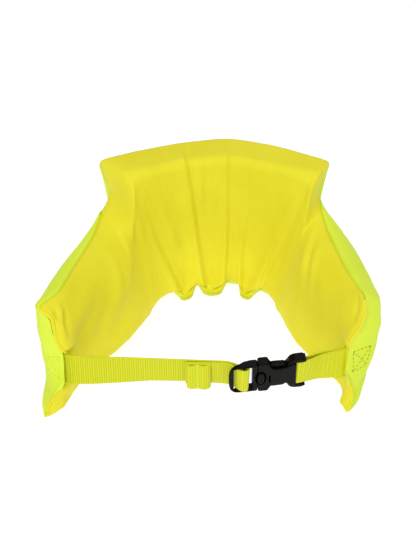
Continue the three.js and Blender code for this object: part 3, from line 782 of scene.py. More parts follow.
@dataclass(frozen=True)
class WebbingFinish:
    """Woven polyester webbing: ribs and yarns come from the mesh, and the grooves between are darkened by
    painted shade.
    """

    name: str = "woven webbing"
    crown: Colour = linear(220, 223, 33)
    # painted shade colour for the grooves between ribs
    groove_shade: Colour = linear(174, 180, 6)
    groove_span: Pair = (0.15, 1.0)
    yarn_scale: float = 3200.0
    yarn_bump: Pair = (0.2, 0.00012)

    def material(self) -> bpy.types.Material:
        """The finish as a material that reads a point value which paints shade in the grooves."""
        sheet = NodeSheet(self.name)
        place = sheet.add("ShaderNodeTexCoord")
        mark = sheet.add("ShaderNodeAttribute")
        mark.attribute_name = "groove_shade"
        tone = sheet.ramp(mark, "Fac", self.crown, self.groove_shade, *self.groove_span)
        sheet.join(tone, "Color", sheet.shader, "Base Color")
        yarn = sheet.noise(self.yarn_scale, 2.0, place, "Object")
        bump = sheet.bump(yarn, "Fac", *self.yarn_bump)
        sheet.join(bump, "Normal", sheet.shader, "Normal")
        sheet.set(Roughness=0.6, Specular_IOR_Level=0.2)
        return sheet.material


@dataclass(frozen=True)
class PlasticFinish:
    """Black moulded plastic: satin, with a fine spark-eroded grain."""

    name: str = "buckle plastic"
    colour: Colour = linear(7, 7, 6)
    worn: Colour = linear(13, 12, 11)
    roughness: float = 0.34
    specular: float = 0.06
    cloud_scale: float = 90.0
    cloud_span: Pair = (0.35, 0.85)
    grain_scale: float = 4200.0
    grain_bump: Pair = (0.06, 0.0001)

    def material(self) -> bpy.types.Material:
        """The finish as a material on object coordinates."""
        sheet = NodeSheet(self.name)
        place = sheet.add("ShaderNodeTexCoord")
        cloud = sheet.noise(self.cloud_scale, 3.0, place, "Object")
        tone = sheet.ramp(cloud, "Fac", self.colour, self.worn, *self.cloud_span)
        sheet.join(tone, "Color", sheet.shader, "Base Color")
        grain = sheet.noise(self.grain_scale, 1.0, place, "Object")
        bump = sheet.bump(grain, "Fac", *self.grain_bump)
        sheet.join(bump, "Normal", sheet.shader, "Normal")
        sheet.set(Roughness=self.roughness, Specular_IOR_Level=self.specular)
        return sheet.material


@dataclass(frozen=True)
class ThreadFinish:
    """Sewing thread with a twist along it."""

    name: str
    light: Colour
    deep: Colour
    twist_scale: float = 1800.0

    def material(self) -> bpy.types.Material:
        """The finish as a material on object coordinates."""
        sheet = NodeSheet(self.name)
        place = sheet.add("ShaderNodeTexCoord")
        twist = sheet.noise(self.twist_scale, 2.0, place, "Object")
        tone = sheet.ramp(twist, "Fac", self.deep, self.light)
        sheet.join(tone, "Color", sheet.shader, "Base Color")
        sheet.set(Roughness=0.6)
        return sheet.material


class Finishes:
    """All the belt's materials, made once."""

    def __init__(self) -> None:
        """Makes the materials."""
        # the third colour of each neoprene is the painted shade in creases and seams
        self.lime = NeopreneFinish(
            "lime neoprene", linear(226, 244, 66), linear(219, 238, 56), linear(188, 205, 22),
            linear(240, 250, 170)).material()
        self.yellow = NeopreneFinish(
            "yellow neoprene", linear(237, 228, 48), linear(231, 221, 38), linear(196, 182, 8),
            linear(250, 244, 170)).material()
        self.webbing = WebbingFinish().material()
        self.plastic = PlasticFinish().material()
        # painted shade: a black matte finish for the ring round the button and the slot, standing for the
        # shadow in those gaps
        self.groove_shade = PlasticFinish("buckle groove", linear(2, 2, 2), linear(3, 3, 3), 0.9, 0.0).material()
        # olive thread: the thread's colour darkened with painted shade of the needle pits
        self.thread = ThreadFinish("olive thread with pit shade", linear(176, 190, 40), linear(120, 130, 18)).material()
        self.bright_thread = ThreadFinish(
            "lime thread", linear(206, 248, 70), linear(188, 236, 48)).material()


@dataclass
class Lining:
    """Yellow lining: hem flange, gathered inner face, block top. A closed wall with soft folds."""

    form: BeltForm
    gathered: Pair = (183.0, 363.0)
    gathered_strips: int = 290
    wing_strips: int = 116
    hem_stitch: float = 3.4
    hem_crease: float = 1.1
    edge_round: float = 0.9
    seam_dip: float = 0.7
    flute_depth: float = 2.2
    flute_from: float = 12.0
    flute_fade: float = 22.0
    slow_ripple: Pair = (0.35, 46.0)
    fine_ripple: Pair = (0.12, 17.0)
    face_gain: float = 1.5
    face_start: float = 0.3
    fold_run_in: float = 5.0
    stitch_width: float = 0.75
    flap_fade: float = 26.0
    flap_start: float = 0.3
    seam_width: float = 1.8
    end_width: float = 1.2
    # strength of the painted shade in the lining's creases
    crease_shade_tone: float = 0.75
    cord_radius: float = 1.25
    cord_past: float = 0.5
    cord_depth: float = 1.1
    cord_foot: float = 0.12
    cord_foot_show: float = 0.3
    cord_least: float = 0.06
    cord_sides: int = 12
    cord_inside: int = 8
    roll_share: float = 0.34

    @cached_property
    def cells(self) -> LiningCells:
        """Shares at which the lining is cut, closer together in the first stretch of the roll."""
        return LiningCells(
            roll=np.concatenate([np.linspace(0, self.roll_share, 16, endpoint=False),
                                 np.linspace(self.roll_share, 1, 10, endpoint=False)]),
            face=np.linspace(0, 1, 38, endpoint=False),
            edge=np.linspace(0, 1, 14, endpoint=False),
            top=np.linspace(0, 1, 14))

    def strip_places(self) -> Array:
        """Places along the seam where the lining is cut, closer together where it is gathered."""
        start, end = self.gathered
        return np.concatenate([
            np.linspace(0.0, start, self.wing_strips, endpoint=False),
            np.linspace(start, end, self.gathered_strips, endpoint=False),
            np.linspace(end, self.form.length, self.wing_strips + 1),
        ])

    def relief(self, section: Section, line: Line) -> Array:
        """Height of the folds over the plain form: ridges, flutes above the scallops, slow ripples.

        Args:
            section: the sections.
            line: the lining's line in them.

        Returns:
            Height toward the hollow at each point, fading on the top face.
        """
        place = np.broadcast_to(section.place, line.z.shape)
        height = sum(ridge.height(place, line.z) for ridge in RIDGES)
        fade = np.exp(-np.maximum(line.z - self.flute_from, 0.0) / self.flute_fade)
        for scallop in filter(lambda one: one.flute, SCALLOPS):
            away = clamped(np.abs(place - scallop.middle) / scallop.reach)
            height = height - self.flute_depth * (1.0 - away ** 2) ** 2 * fade
        height = height - self.form.strap_recess(place, line.z)
        for rise, length in (self.slow_ripple, self.fine_ripple):
            height = height + rise * ripple(place, line.z, length)
        on_face = clamped(-self.face_gain * line.out / section.inner - self.face_start)
        return height * on_face * smooth(line.travelled / self.fold_run_in)

    def hem(self, line: Line, end: Array) -> Array:
        """Depth of the stitch crease along the hem, which fades at the flaps, and of the rounded edges."""
        from_edge = line.travelled
        to_seam = line.travelled[:, -1:] - line.travelled
        stitch = np.exp(-((from_edge - self.hem_stitch) / self.stitch_width) ** 2)
        crease = self.hem_crease * stitch * smooth(end / self.flap_fade - self.flap_start)
        dip = self.seam_dip * clamped(1.0 - to_seam / self.seam_width) ** 2
        return crease + self.rounded(from_edge) + dip

    def rounded(self, distance: Array) -> Array:
        """Depth of a rounded edge at a distance from it, a quarter circle over one unit of distance."""
        return self.edge_round * (1.0 - np.sqrt(1.0 - clamped(1.0 - distance) ** 2))

    def surface(self) -> Surface:
        """The lining's wall: face rows out to the seam and back rows behind them, closed at the flaps.

        Returns:
            The closed surface with UV in millimetres and the crease value, a painted shade along the stitch
            crease, the rounded hem edge and the seam.
        """
        place = self.strip_places()
        section = self.form.sections(place)
        end = np.minimum(section.place, self.form.length - section.place)
        line = self.form.lining_line(section, self.cells)
        hem = self.hem(line, end)
        relief = self.relief(section, line)
        face = self.form.spot(section, *line.moved(hem + self.rounded(end / self.end_width) - relief))
        behind = self.form.spot(section, *line.moved(LINING_WALL - relief))
        ring = np.concatenate([face, behind[:, ::-1]], 1)
        # painted shade: the crease value darkens the stitch crease, the rounded hem edge and the seam dip
        crease = clamped(self.crease_shade_tone * hem / self.hem_crease)
        crease = np.concatenate([crease, np.zeros_like(crease)], 1)
        travelled = np.concatenate([line.travelled, line.travelled[:, ::-1]], 1)
        uv = np.stack([np.broadcast_to(section.place, travelled.shape), travelled], -1)
        wall = closed_tube(ring, uv, {"crease": crease}).outward()
        kept = slice(0, 1 - len(self.cells.top))
        plain = self.form.spot(section, *line.moved(self.cord_depth))
        drawn_in = self.form.strap_recess(np.zeros_like(line.z), line.z) / self.form.recess_depth
        cords = [self.cord(plain[edge, kept], plain[inside, kept], 1.0 - drawn_in[edge, kept])
                 for edge, inside in ((0, self.cord_inside), (-1, -1 - self.cord_inside))]
        return Surface.joined([wall, *cords])

    def cord(self, edge: Array, inside: Array, show: Array) -> Surface:
        """Round turned edge of the cloth along an upright edge of the lining.

        Args:
            edge: points of the edge from the hem to the seam.
            inside: the same points a little way in, which tell the way past the edge.
            show: 1 where the cord shows, 0 where the strap goes through.

        Returns:
            A closed tube with uv like the lining's, and a crease value of zero, so without painted shade.
        """
        ahead = edge - inside
        along = unit(np.gradient(edge, axis=0))
        side = unit(np.cross(along, ahead))
        ahead = np.cross(side, along)
        turn = circle(self.cord_sides)
        foot = np.linspace(0.0, 1.0, len(edge)) / self.cord_foot
        show = (show * smooth(self.cord_foot_show + (1.0 - self.cord_foot_show) * foot))[:, None]
        middle = edge + (self.cord_past * show - self.cord_radius * (1.0 - show)) * ahead
        radius = self.cord_radius * (self.cord_least + (1.0 - self.cord_least) * show)
        ring = middle[:, None] + radius[:, None] * (
            np.cos(turn)[:, None] * side[:, None] + np.sin(turn)[:, None] * ahead[:, None])
        return closed_tube(ring, ring[..., :2], {"crease": np.zeros(ring.shape[:2])}).outward()

    def build(self, finishes: Finishes) -> bpy.types.Object:
        """Makes the lining's object."""
        piece = self.surface().piece("lining", finishes.yellow, Slot.YELLOW, "inner_lining")
        return piece


def closed_tube(ring: Array, uv: Array | None = None, values: dict[str, Array] | None = None) -> Surface:
    """A grid of rings joined into a tube, its two ends closed by quads between opposite points.

    Args:
        ring: points, rows by columns, each row one closed ring.
        uv: place on the cloth at each point.
        values: finish values at each point.

    Returns:
        The closed surface.
    """
    rows, columns = ring.shape[:2]
    faces = grid_faces(rows, columns, wrap=True)
    half = columns // 2
    near = np.arange(half - 1)
    far = columns - 1 - near
    cap = np.stack([near, far, far - 1, near + 1], -1)
    last = (rows - 1) * columns
    return Surface(
        points=ring.reshape(-1, 3),
        faces=np.concatenate([faces, cap, cap[:, ::-1] + last]),
        uv=None if uv is None else uv.reshape(-1, 2),
        values={name: value.ravel() for name, value in (values or {}).items()},
    )


def closed_ring(ring: Array) -> Surface:
    """A tube bent round to its start, from its outlines with the first again as the last."""
    return Surface(ring.reshape(-1, 3), grid_faces(*ring.shape[:2], wrap=True)).outward()


@dataclass
class Shell:
    """Lime shell: outer face, floor, hem lip and the two flap faces, closed behind the lining."""

    form: BeltForm
    strips: int = 420
    pillow: float = 1.6
    lip: float = 0.9
    lip_thickness: float = 1.2
    seam_dip: float = 0.8
    face_bulge: float = 2.6
    face_rows: int = 30
    edge_share: float = 0.85
    edge_most: float = 0.3
    foot_width: float = 0.5
    foot_share: float = 1.4
    foot_most: float = 0.35
    edge_cells: int = 12
    upright_cells: int = 18
    foot_cells: int = 12
    floor_cells: int = 5
    behind_clear: float = 4.5
    hem_setback: float = 2.0
    dash: float = 2.1
    dash_gap: float = 1.2
    thread_radius: float = 0.24
    thread_lift: float = 0.15
    dash_start: float = 0.4
    dash_samples: int = 80
    square_heights: Triple = (20.0, 60.0, 0.5)
    end_step: float = 3.0
    face_shoulder: float = 0.4
    face_roll: float = 0.82
    face_shares: Triple = (0.30, 0.58, 0.115)
    face_bulge_most: float = 0.3
    # painted shade on the last rows of the flap faces, at the seam
    face_seam_shade: float = 0.2
    face_seam_shade_rows: int = 3
    face_uv: Pair = (0.5, 16.0)
    slow_wave: Pair = (0.45, 60.0)
    fine_wave: Pair = (0.15, 19.0)
    wave_from_floor: float = 25.0
    lip_turn: Pair = (-5.0, 30.0)
    lip_shares: Pair = (0.7, 1.0)
    plain_shares: Pair = (0.35, 0.7)
    seam_reach: float = 2.0
    # painted shade along the seam dip
    seam_shade_tone: float = 0.35
    clear_edge: float = 14.0
    clear_start: float = 0.2
    clear_end: float = 16.0

    @property
    def columns(self) -> int:
        """Number of points of the outside line, and of the line behind the lining."""
        return self.edge_cells + self.upright_cells + self.foot_cells + self.floor_cells + 3

    def outside(self, section: Section) -> tuple[Array, Array, Array]:
        """Shell's line from the seam down the outer face, round the foot, along the floor to the hem lip.

        The edge and the foot are quarter ellipses, and the upright stretch swells by a sine squared.

        Args:
            section: the sections.

        Returns:
            Offsets, heights and crease values, which paint shade along the seam, one row for each section.
        """
        start = section.top_end + SEAM_GAP
        upright = np.maximum(section.out, start + 0.1)
        top = section.high - section.top_drop
        edge = np.minimum(self.edge_share * (upright - section.top_end), self.edge_most * section.high)
        foot = self.foot_width * (upright + section.inner)
        foot_high = np.minimum(self.foot_share * foot, self.foot_most * section.high)
        turn = 0.5 * np.pi * np.linspace(0.0, 1.0, self.edge_cells, endpoint=False)
        down = np.linspace(0.0, 1.0, self.upright_cells, endpoint=False)
        under = 0.5 * np.pi * np.linspace(0.0, 1.0, self.foot_cells, endpoint=False)
        along = np.linspace(0.0, 1.0, self.floor_cells)
        radius = section.arc / section.roll
        tip_out = -section.inner + radius * (1.0 - np.cos(section.roll))
        lip_start, lip_span = np.radians(self.lip_turn)
        show = smooth((lip_start - section.roll) / lip_span)
        hem_out = tip_out + SEAM_GAP + self.hem_setback * (1.0 - show)
        foot_out = upright - foot
        swell = self.pillow * np.sin(np.pi * down) ** 2 * (1.0 - section.top_drop / self.form.cover_drop)
        back = LINING_WALL + SEAM_GAP + np.array([self.lip_thickness, 0.0])
        ahead = np.array(self.lip_shares) * self.lip
        lip_out = tip_out + np.cos(section.roll) * back + np.sin(section.roll) * ahead
        lip_z = np.maximum(0.0, section.hem + np.sin(section.roll) * back - np.cos(section.roll) * ahead)
        plain_z = np.array(self.plain_shares) * (section.hem + np.sin(section.roll) * back[1])
        out = np.concatenate([
            start + (upright - start) * np.sin(turn),
            upright + swell,
            foot_out + foot * np.cos(under),
            foot_out + (hem_out - foot_out) * along,
            hem_out * (1.0 - show) + lip_out * show,
        ], 1)
        z = np.concatenate([
            top - edge + edge * np.cos(turn),
            top - edge + (foot_high - top + edge) * down,
            foot_high - foot_high * np.sin(under),
            np.zeros_like(section.inner) * along,
            plain_z * (1.0 - show) + lip_z * show,
        ], 1)
        closing_out = tip_out + np.cos(section.roll) * back[1]
        closing_z = section.hem + np.sin(section.roll) * back[1]
        out = np.concatenate([out, closing_out + 0.02], 1)
        z = np.concatenate([z, np.maximum(closing_z, 0.0)], 1)
        travelled = distance_along(np.stack([out, z], -1))
        # painted shade: the crease value darkens the seam where the shell dips
        dip = clamped(1.0 - travelled / self.seam_reach) ** 2
        return out, z - self.seam_dip * dip, self.seam_shade_tone * dip

    def behind(self, section: Section) -> Array:
        """Shell's rows behind the lining, from the hem to the seam, as many as the outside line has."""
        spare = self.columns - 14
        cells = LiningCells(
            roll=np.linspace(0, 1, 8, endpoint=False), face=np.linspace(0, 1, spare, endpoint=False),
            edge=np.linspace(0, 1, 3, endpoint=False), top=np.linspace(0, 1, 3))
        line = self.form.lining_line(section, cells)
        rest = np.minimum(line.travelled, line.travelled[:, -1:] - line.travelled)
        end = np.minimum(section.place, self.form.length - section.place)
        clear = self.behind_clear * smooth(rest / self.clear_edge - self.clear_start)
        clear = clear * smooth(end / self.clear_end)
        recess = self.form.strap_recess(np.broadcast_to(section.place, line.z.shape), line.z)
        recess = recess * smooth(end / self.form.recess_edge)
        return self.form.spot(section, *line.moved(LINING_WALL + SEAM_GAP + clear + recess))

    def rings(self, place: Array) -> tuple[Array, Array]:
        """Closed rings of the shell at places along the seam.

        Args:
            place: places, one dimension.

        Returns:
            Points, rows by ring columns, and crease values of painted seam shade.
        """
        section = self.form.sections(place)
        out, z, dip = self.outside(section)
        outside = self.form.spot(section, out, z)
        wave = sum(rise * ripple(section.place, z, length)
                   for rise, length in (self.slow_wave, self.fine_wave))
        lift = clamped(out / np.maximum(section.out, 1.0))
        lift = lift * clamped(z / self.wave_from_floor)
        lift = lift * (1.0 - section.top_drop / self.form.cover_drop)
        outside[..., :2] += section.across * (wave * lift)[..., None]
        ring = np.concatenate([outside, self.behind(section)], 1)
        crease = np.concatenate([dip, np.zeros_like(dip)], 1)
        return ring, crease

    def flap_face(self, ring: Array, inside: Array) -> Array:
        """Rows that close a flap: the outside line swells past the end and comes round to the lining's edge.

        At a share t the row stands at a(t) of the way to the lining and b(t) of the bulge past the end:
        a quarter ellipse on the outer shoulder, a level face, and a small roll at the seam.

        Args:
            ring: the last ring.
            inside: a ring a little way in from it.

        Returns:
            Rows from the last ring to the lining's edge.
        """
        half = self.columns
        outer, lining = ring[:half], ring[half:][::-1]
        ahead = unit(outer - inside[:half])
        width = np.linalg.norm(lining - outer, axis=-1, keepdims=True)
        bulge = np.minimum(self.face_bulge, self.face_bulge_most * width)
        t = np.linspace(0.0, 1.0, self.face_rows + 1)[1:, None, None]
        shoulder = 0.5 * np.pi * clamped(t / self.face_shoulder)
        roll = 0.5 * np.pi * clamped((t - self.face_roll) / (1.0 - self.face_roll))
        level = clamped((t - self.face_shoulder) / (self.face_roll - self.face_shoulder))
        on_shoulder, on_level, on_roll = self.face_shares
        toward = on_shoulder * (1.0 - np.cos(shoulder)) + on_level * level + on_roll * np.sin(roll)
        past = np.sin(shoulder) * np.cos(roll)
        face = outer + (lining - outer) * toward + ahead * bulge * past
        stay = np.broadcast_to(ring[half:], (self.face_rows, *ring[half:].shape))
        return np.concatenate([face, stay], 1)

    def flap_faces(self) -> tuple[Array, Array]:
        """Rows that close the left flap and the right flap, each from the last ring to the lining's edge."""
        ends = np.array([0.0, self.form.length])
        ring, _ = self.rings(ends)
        inside, _ = self.rings(ends + self.end_step * np.array([1.0, -1.0]))
        return self.flap_face(ring[0], inside[0]), self.flap_face(ring[1], inside[1])

    def surface(self) -> Surface:
        """The shell as one closed surface with UV in millimetres and the crease value.

        The crease value, a painted shade, rises over the last rows of the flap faces, at the seam.

        Returns:
            The closed surface.
        """
        place = np.linspace(0.0, self.form.length, self.strips + 1)
        ring, crease = self.rings(place)
        left, right = self.flap_faces()
        whole = np.concatenate([left[::-1], ring, right])
        last = np.arange(self.face_rows)[:, None] + 1 - self.face_rows
        flat = np.zeros((self.face_rows, ring.shape[1]))
        # painted shade at the seam on the flap faces
        flat[:, :self.columns] = self.face_seam_shade * clamped(last / self.face_seam_shade_rows + 1.0)
        crease = np.concatenate([flat[::-1], crease, flat])
        past = np.linspace(*self.face_uv, self.face_rows)
        along = np.concatenate([-past[::-1], place, self.form.length + past])
        travelled = distance_along(whole)
        uv = np.stack([np.broadcast_to(along[:, None], travelled.shape), travelled], -1)
        return closed_tube(whole, uv, {"crease": crease}).outward()

    def sewn_square(self, face: Array, corners: Array) -> Surface:
        """Dashes of thread round a square and along its two diagonals, lying on a flap face.

        Args:
            face: rows of the flap face.
            corners: share across the face and height of the square's corners, in order round it.

        Returns:
            The threads.
        """
        heights = np.arange(*self.square_heights)
        upright = face[:, :self.edge_cells + self.upright_cells + self.foot_cells]
        level = np.array([[np.interp(heights, row[::-1, 2], row[::-1, k]) for k in range(3)]
                          for row in upright])
        first, last = [0, 1, 2, 3, 0, 1], [1, 2, 3, 0, 2, 3]
        step = np.linspace(0.0, 1.0, self.dash_samples)[:, None]
        starts, ends = [], []
        for begin, end in zip(corners[first], corners[last]):
            spot = begin + (end - begin) * step
            row = np.clip(spot[:, 0] * self.face_rows - 1.0, 0.0, self.face_rows - 1.001)
            column = (spot[:, 1] - heights[0]) / self.square_heights[2]
            r, c = row.astype(int), column.astype(int)
            fr, fc = (row - r)[:, None], (column - c)[:, None]
            line = ((level[r, :, c] * (1 - fc) + level[r, :, c + 1] * fc) * (1 - fr)
                    + (level[r + 1, :, c] * (1 - fc) + level[r + 1, :, c + 1] * fc) * fr)
            travelled = distance_along(line)
            dash = np.arange(self.dash_start, travelled[-1] - self.dash, self.dash + self.dash_gap)
            starts.append(rows_at(dash, travelled, line))
            ends.append(rows_at(dash + self.dash, travelled, line))
        lift = np.array([0.0, -self.thread_lift, 0.0])
        return stitches(np.concatenate(starts) + lift, np.concatenate(ends) + lift, self.thread_radius)

    def build_squares(self, finishes: Finishes) -> None:
        """Makes the sewn squares that hold the strap ends, bold on the right flap, whose olive thread
        carries painted shade of the needle pits, and faint on the left.
        """
        left, right = self.flap_faces()
        for name, face, corners, finish in (
                ("left_square", left, LEFT_SQUARE, finishes.bright_thread),
                ("right_square", right, RIGHT_SQUARE, finishes.thread)):
            self.sewn_square(face, corners).piece(name, finish, Slot.LIME, "float_body")

    def build(self, finishes: Finishes) -> bpy.types.Object:
        """Makes the shell's object."""
        piece = self.surface().piece("float_shell", finishes.lime, Slot.LIME, "float_body")
        return piece


STITCH_SIDES = 6
STITCH_CELLS = 7
STITCH_TAPER = 0.25


def stitches(start: Array, end: Array, radius: float) -> Surface:
    """Short threads between pairs of points: tubes thickest in the middle, by the root of a sine.

    Args:
        start: first point of each stitch.
        end: last point of each.
        radius: half the thread's thickness.

    Returns:
        One surface of all the threads.
    """
    along = unit(end - start)
    nearly_upright = np.abs(along[:, 2:]) >= 0.9
    side = unit(np.cross(along, np.where(nearly_upright, [[1.0, 0.0, 0.0]], [[0.0, 0.0, 1.0]])))
    other = np.cross(along, side)
    share = np.linspace(0.0, 1.0, STITCH_CELLS)
    thick = radius * (STITCH_TAPER + (1.0 - STITCH_TAPER) * np.sqrt(np.maximum(np.sin(np.pi * share), 0.0)))
    angle = circle(STITCH_SIDES)
    ring = np.cos(angle)[:, None] * side[:, None] + np.sin(angle)[:, None] * other[:, None]
    middle = start[:, None] + (end - start)[:, None] * share[None, :, None]
    tubes = middle[:, :, None] + ring[:, None] * thick[None, :, None, None]
    return Surface.joined([closed_tube(tube).outward() for tube in tubes])


class Route:
    """A strap's middle line: y, height and forward lean in degrees as curves of x."""

    def __init__(self, rows: Sequence[tuple[float, ...]]) -> None:
        """Makes the curves from rows of x, y, z and lean."""
        table = np.array(rows)
        self.y, self.z, self.lean = (EasedCurve(table[:, 0], table[:, k]) for k in (1, 2, 3))

    def at(self, x: Array, layer: Array, upright: Array | float = 0.0) -> tuple[Array, Array]:
        """Points and across directions.

        Args:
            x: places along the strap.
            layer: distance in front of the middle line at each place.
            upright: degrees by which the strap leans less than its route there.

        Returns:
            Points in the belt's frame, and the direction across the strap at each.
        """
        step = 0.5
        heading = unit(np.stack([np.full_like(x, 2 * step), self.y(x + step) - self.y(x - step)], -1))
        forward = np.stack([heading[:, 1], -heading[:, 0], np.zeros_like(x)], -1)
        lean = np.radians(self.lean(x))[:, None]
        up = np.array([0.0, 0.0, 1.0])
        front = -up * np.sin(lean) + forward * np.cos(lean)
        lean = lean - np.radians(np.broadcast_to(upright, x.shape))[:, None]
        across = up * np.cos(lean) + forward * np.sin(lean)
        middle = np.stack([x, self.y(x), self.z(x)], -1)
        return middle + front * layer[:, None] - BOX_MIDDLE, across


def half_turn(x: float, start: float, end: float, side: int, steps: int = 14) -> Array:
    """Rows of x and layer round a half circle from one layer to another, bulging toward x + side."""
    angle = np.linspace(0.0, np.pi, steps + 2)[1:-1]
    radius = 0.5 * (end - start)
    out = x + side * abs(radius) * np.sin(angle)
    return np.stack([out, 0.5 * (start + end) - radius * np.cos(angle)], 1)


@dataclass
class Webbing:
    """A woven strap laid along rows of x and layer on a route: ribs across it, each a row of yarn crowns."""

    route: Route
    rib_pitch: float = 1.65
    yarn_pitch: float = 1.75
    rib_height: float = 0.14
    solid_dip: float = 0.16
    dot_dip: float = 0.42
    samples_per_rib: int = 5
    face_cells: int = 58
    selvedge_shade: float = 0.35
    # painted shade on the selvedges
    ease: float = 1.2

    def path(self, rows: Array) -> tuple[Array, Array, Array]:
        """Evenly spaced stations along the rows, with the corners eased.

        Args:
            rows: x and layer along the strap, and if it has a third column, how much less it leans.

        Returns:
            Points, across directions and distances along the strap.
        """
        point, across = self.route.at(*rows.T)
        both = np.concatenate([point, across], 1)
        distance = distance_along(point)
        step = self.rib_pitch / self.samples_per_rib
        even = np.linspace(0.0, distance[-1], int(distance[-1] / step) + 1)
        spread = rows_at(even, distance, both)
        reach = int(3 * self.ease / step)
        kernel = bell(reach, step, self.ease)
        padded = np.concatenate([np.repeat(spread[:1], reach, 0), spread, np.repeat(spread[-1:], reach, 0)])
        eased = np.stack([np.convolve(padded[:, k], kernel, "valid") for k in range(6)], 1)
        eased[[0, -1]] = spread[[0, -1]]
        return eased[:, :3], unit(eased[:, 3:]), even

    def weave(self, along: Array, across: Array, side: int) -> Array:
        """Height of the weave, 0 in the grooves to 1 on the crowns.

        A rib is the square root of a sine across its pitch. Every second rib is broken into dots by a sine
        along it.

        Args:
            along: distance along the strap.
            across: distance from the strap's middle.
            side: 1 for the front, -1 for the back, which is offset by half a rib.

        Returns:
            Height at each point.
        """
        turn = along / self.rib_pitch + (0.5 if side < 0 else 0.0)
        rib = np.sqrt(np.abs(np.sin(np.pi * turn)))
        dotted = np.floor(turn) % 2
        yarn = 0.5 + 0.5 * np.cos(2.0 * np.pi * across / self.yarn_pitch)
        return rib * (1.0 - (self.solid_dip + (self.dot_dip - self.solid_dip) * dotted) * (1.0 - yarn))

    def surface(self, rows: Array) -> Surface:
        """The strap as a closed ribbon with rounded selvedges.

        Args:
            rows: x and layer along the strap.

        Returns:
            The surface with UV in millimetres and the point value that paints shade in the grooves and on
            the selvedges.
        """
        point, across, along = self.path(rows)
        heading = np.gradient(point, axis=0)
        front = unit(np.cross(heading, across))
        half, thick = 0.5 * STRAP_WIDTH, 0.5 * STRAP_THICKNESS
        flat = np.linspace(-1.0, 1.0, self.face_cells + 1) * (half - thick)
        turn = 0.5 * np.pi * np.array([-0.5, 0.0, 0.5])
        ring_across = np.concatenate([flat, half - thick + thick * np.cos(turn), flat[::-1],
                                      -half + thick - thick * np.cos(turn)])
        ring_front = np.concatenate([np.full_like(flat, thick), -thick * np.sin(turn),
                                     np.full_like(flat, -thick), thick * np.sin(turn)])
        side = np.where(ring_front > 0.0, 1.0, -1.0)
        weave = np.where(side > 0, self.weave(along[:, None], ring_across[None], 1),
                         self.weave(along[:, None], ring_across[None], -1))
        on_face = np.abs(np.abs(ring_front) - thick) < 1e-6
        lift = np.where(on_face, side * self.rib_height * (weave - 0.5), 0.0)
        ring = (point[:, None] + across[:, None] * ring_across[None, :, None]
                + front[:, None] * (ring_front[None] + lift)[..., None])
        # painted shade: darker in the grooves between ribs and on the rounded selvedges
        groove_shade = np.where(on_face, 1.0 - weave, self.selvedge_shade)
        uv = np.stack(np.broadcast_arrays(along[:, None], ring_across[None]), -1)
        return closed_tube(ring, uv, {"groove_shade": groove_shade}).outward()


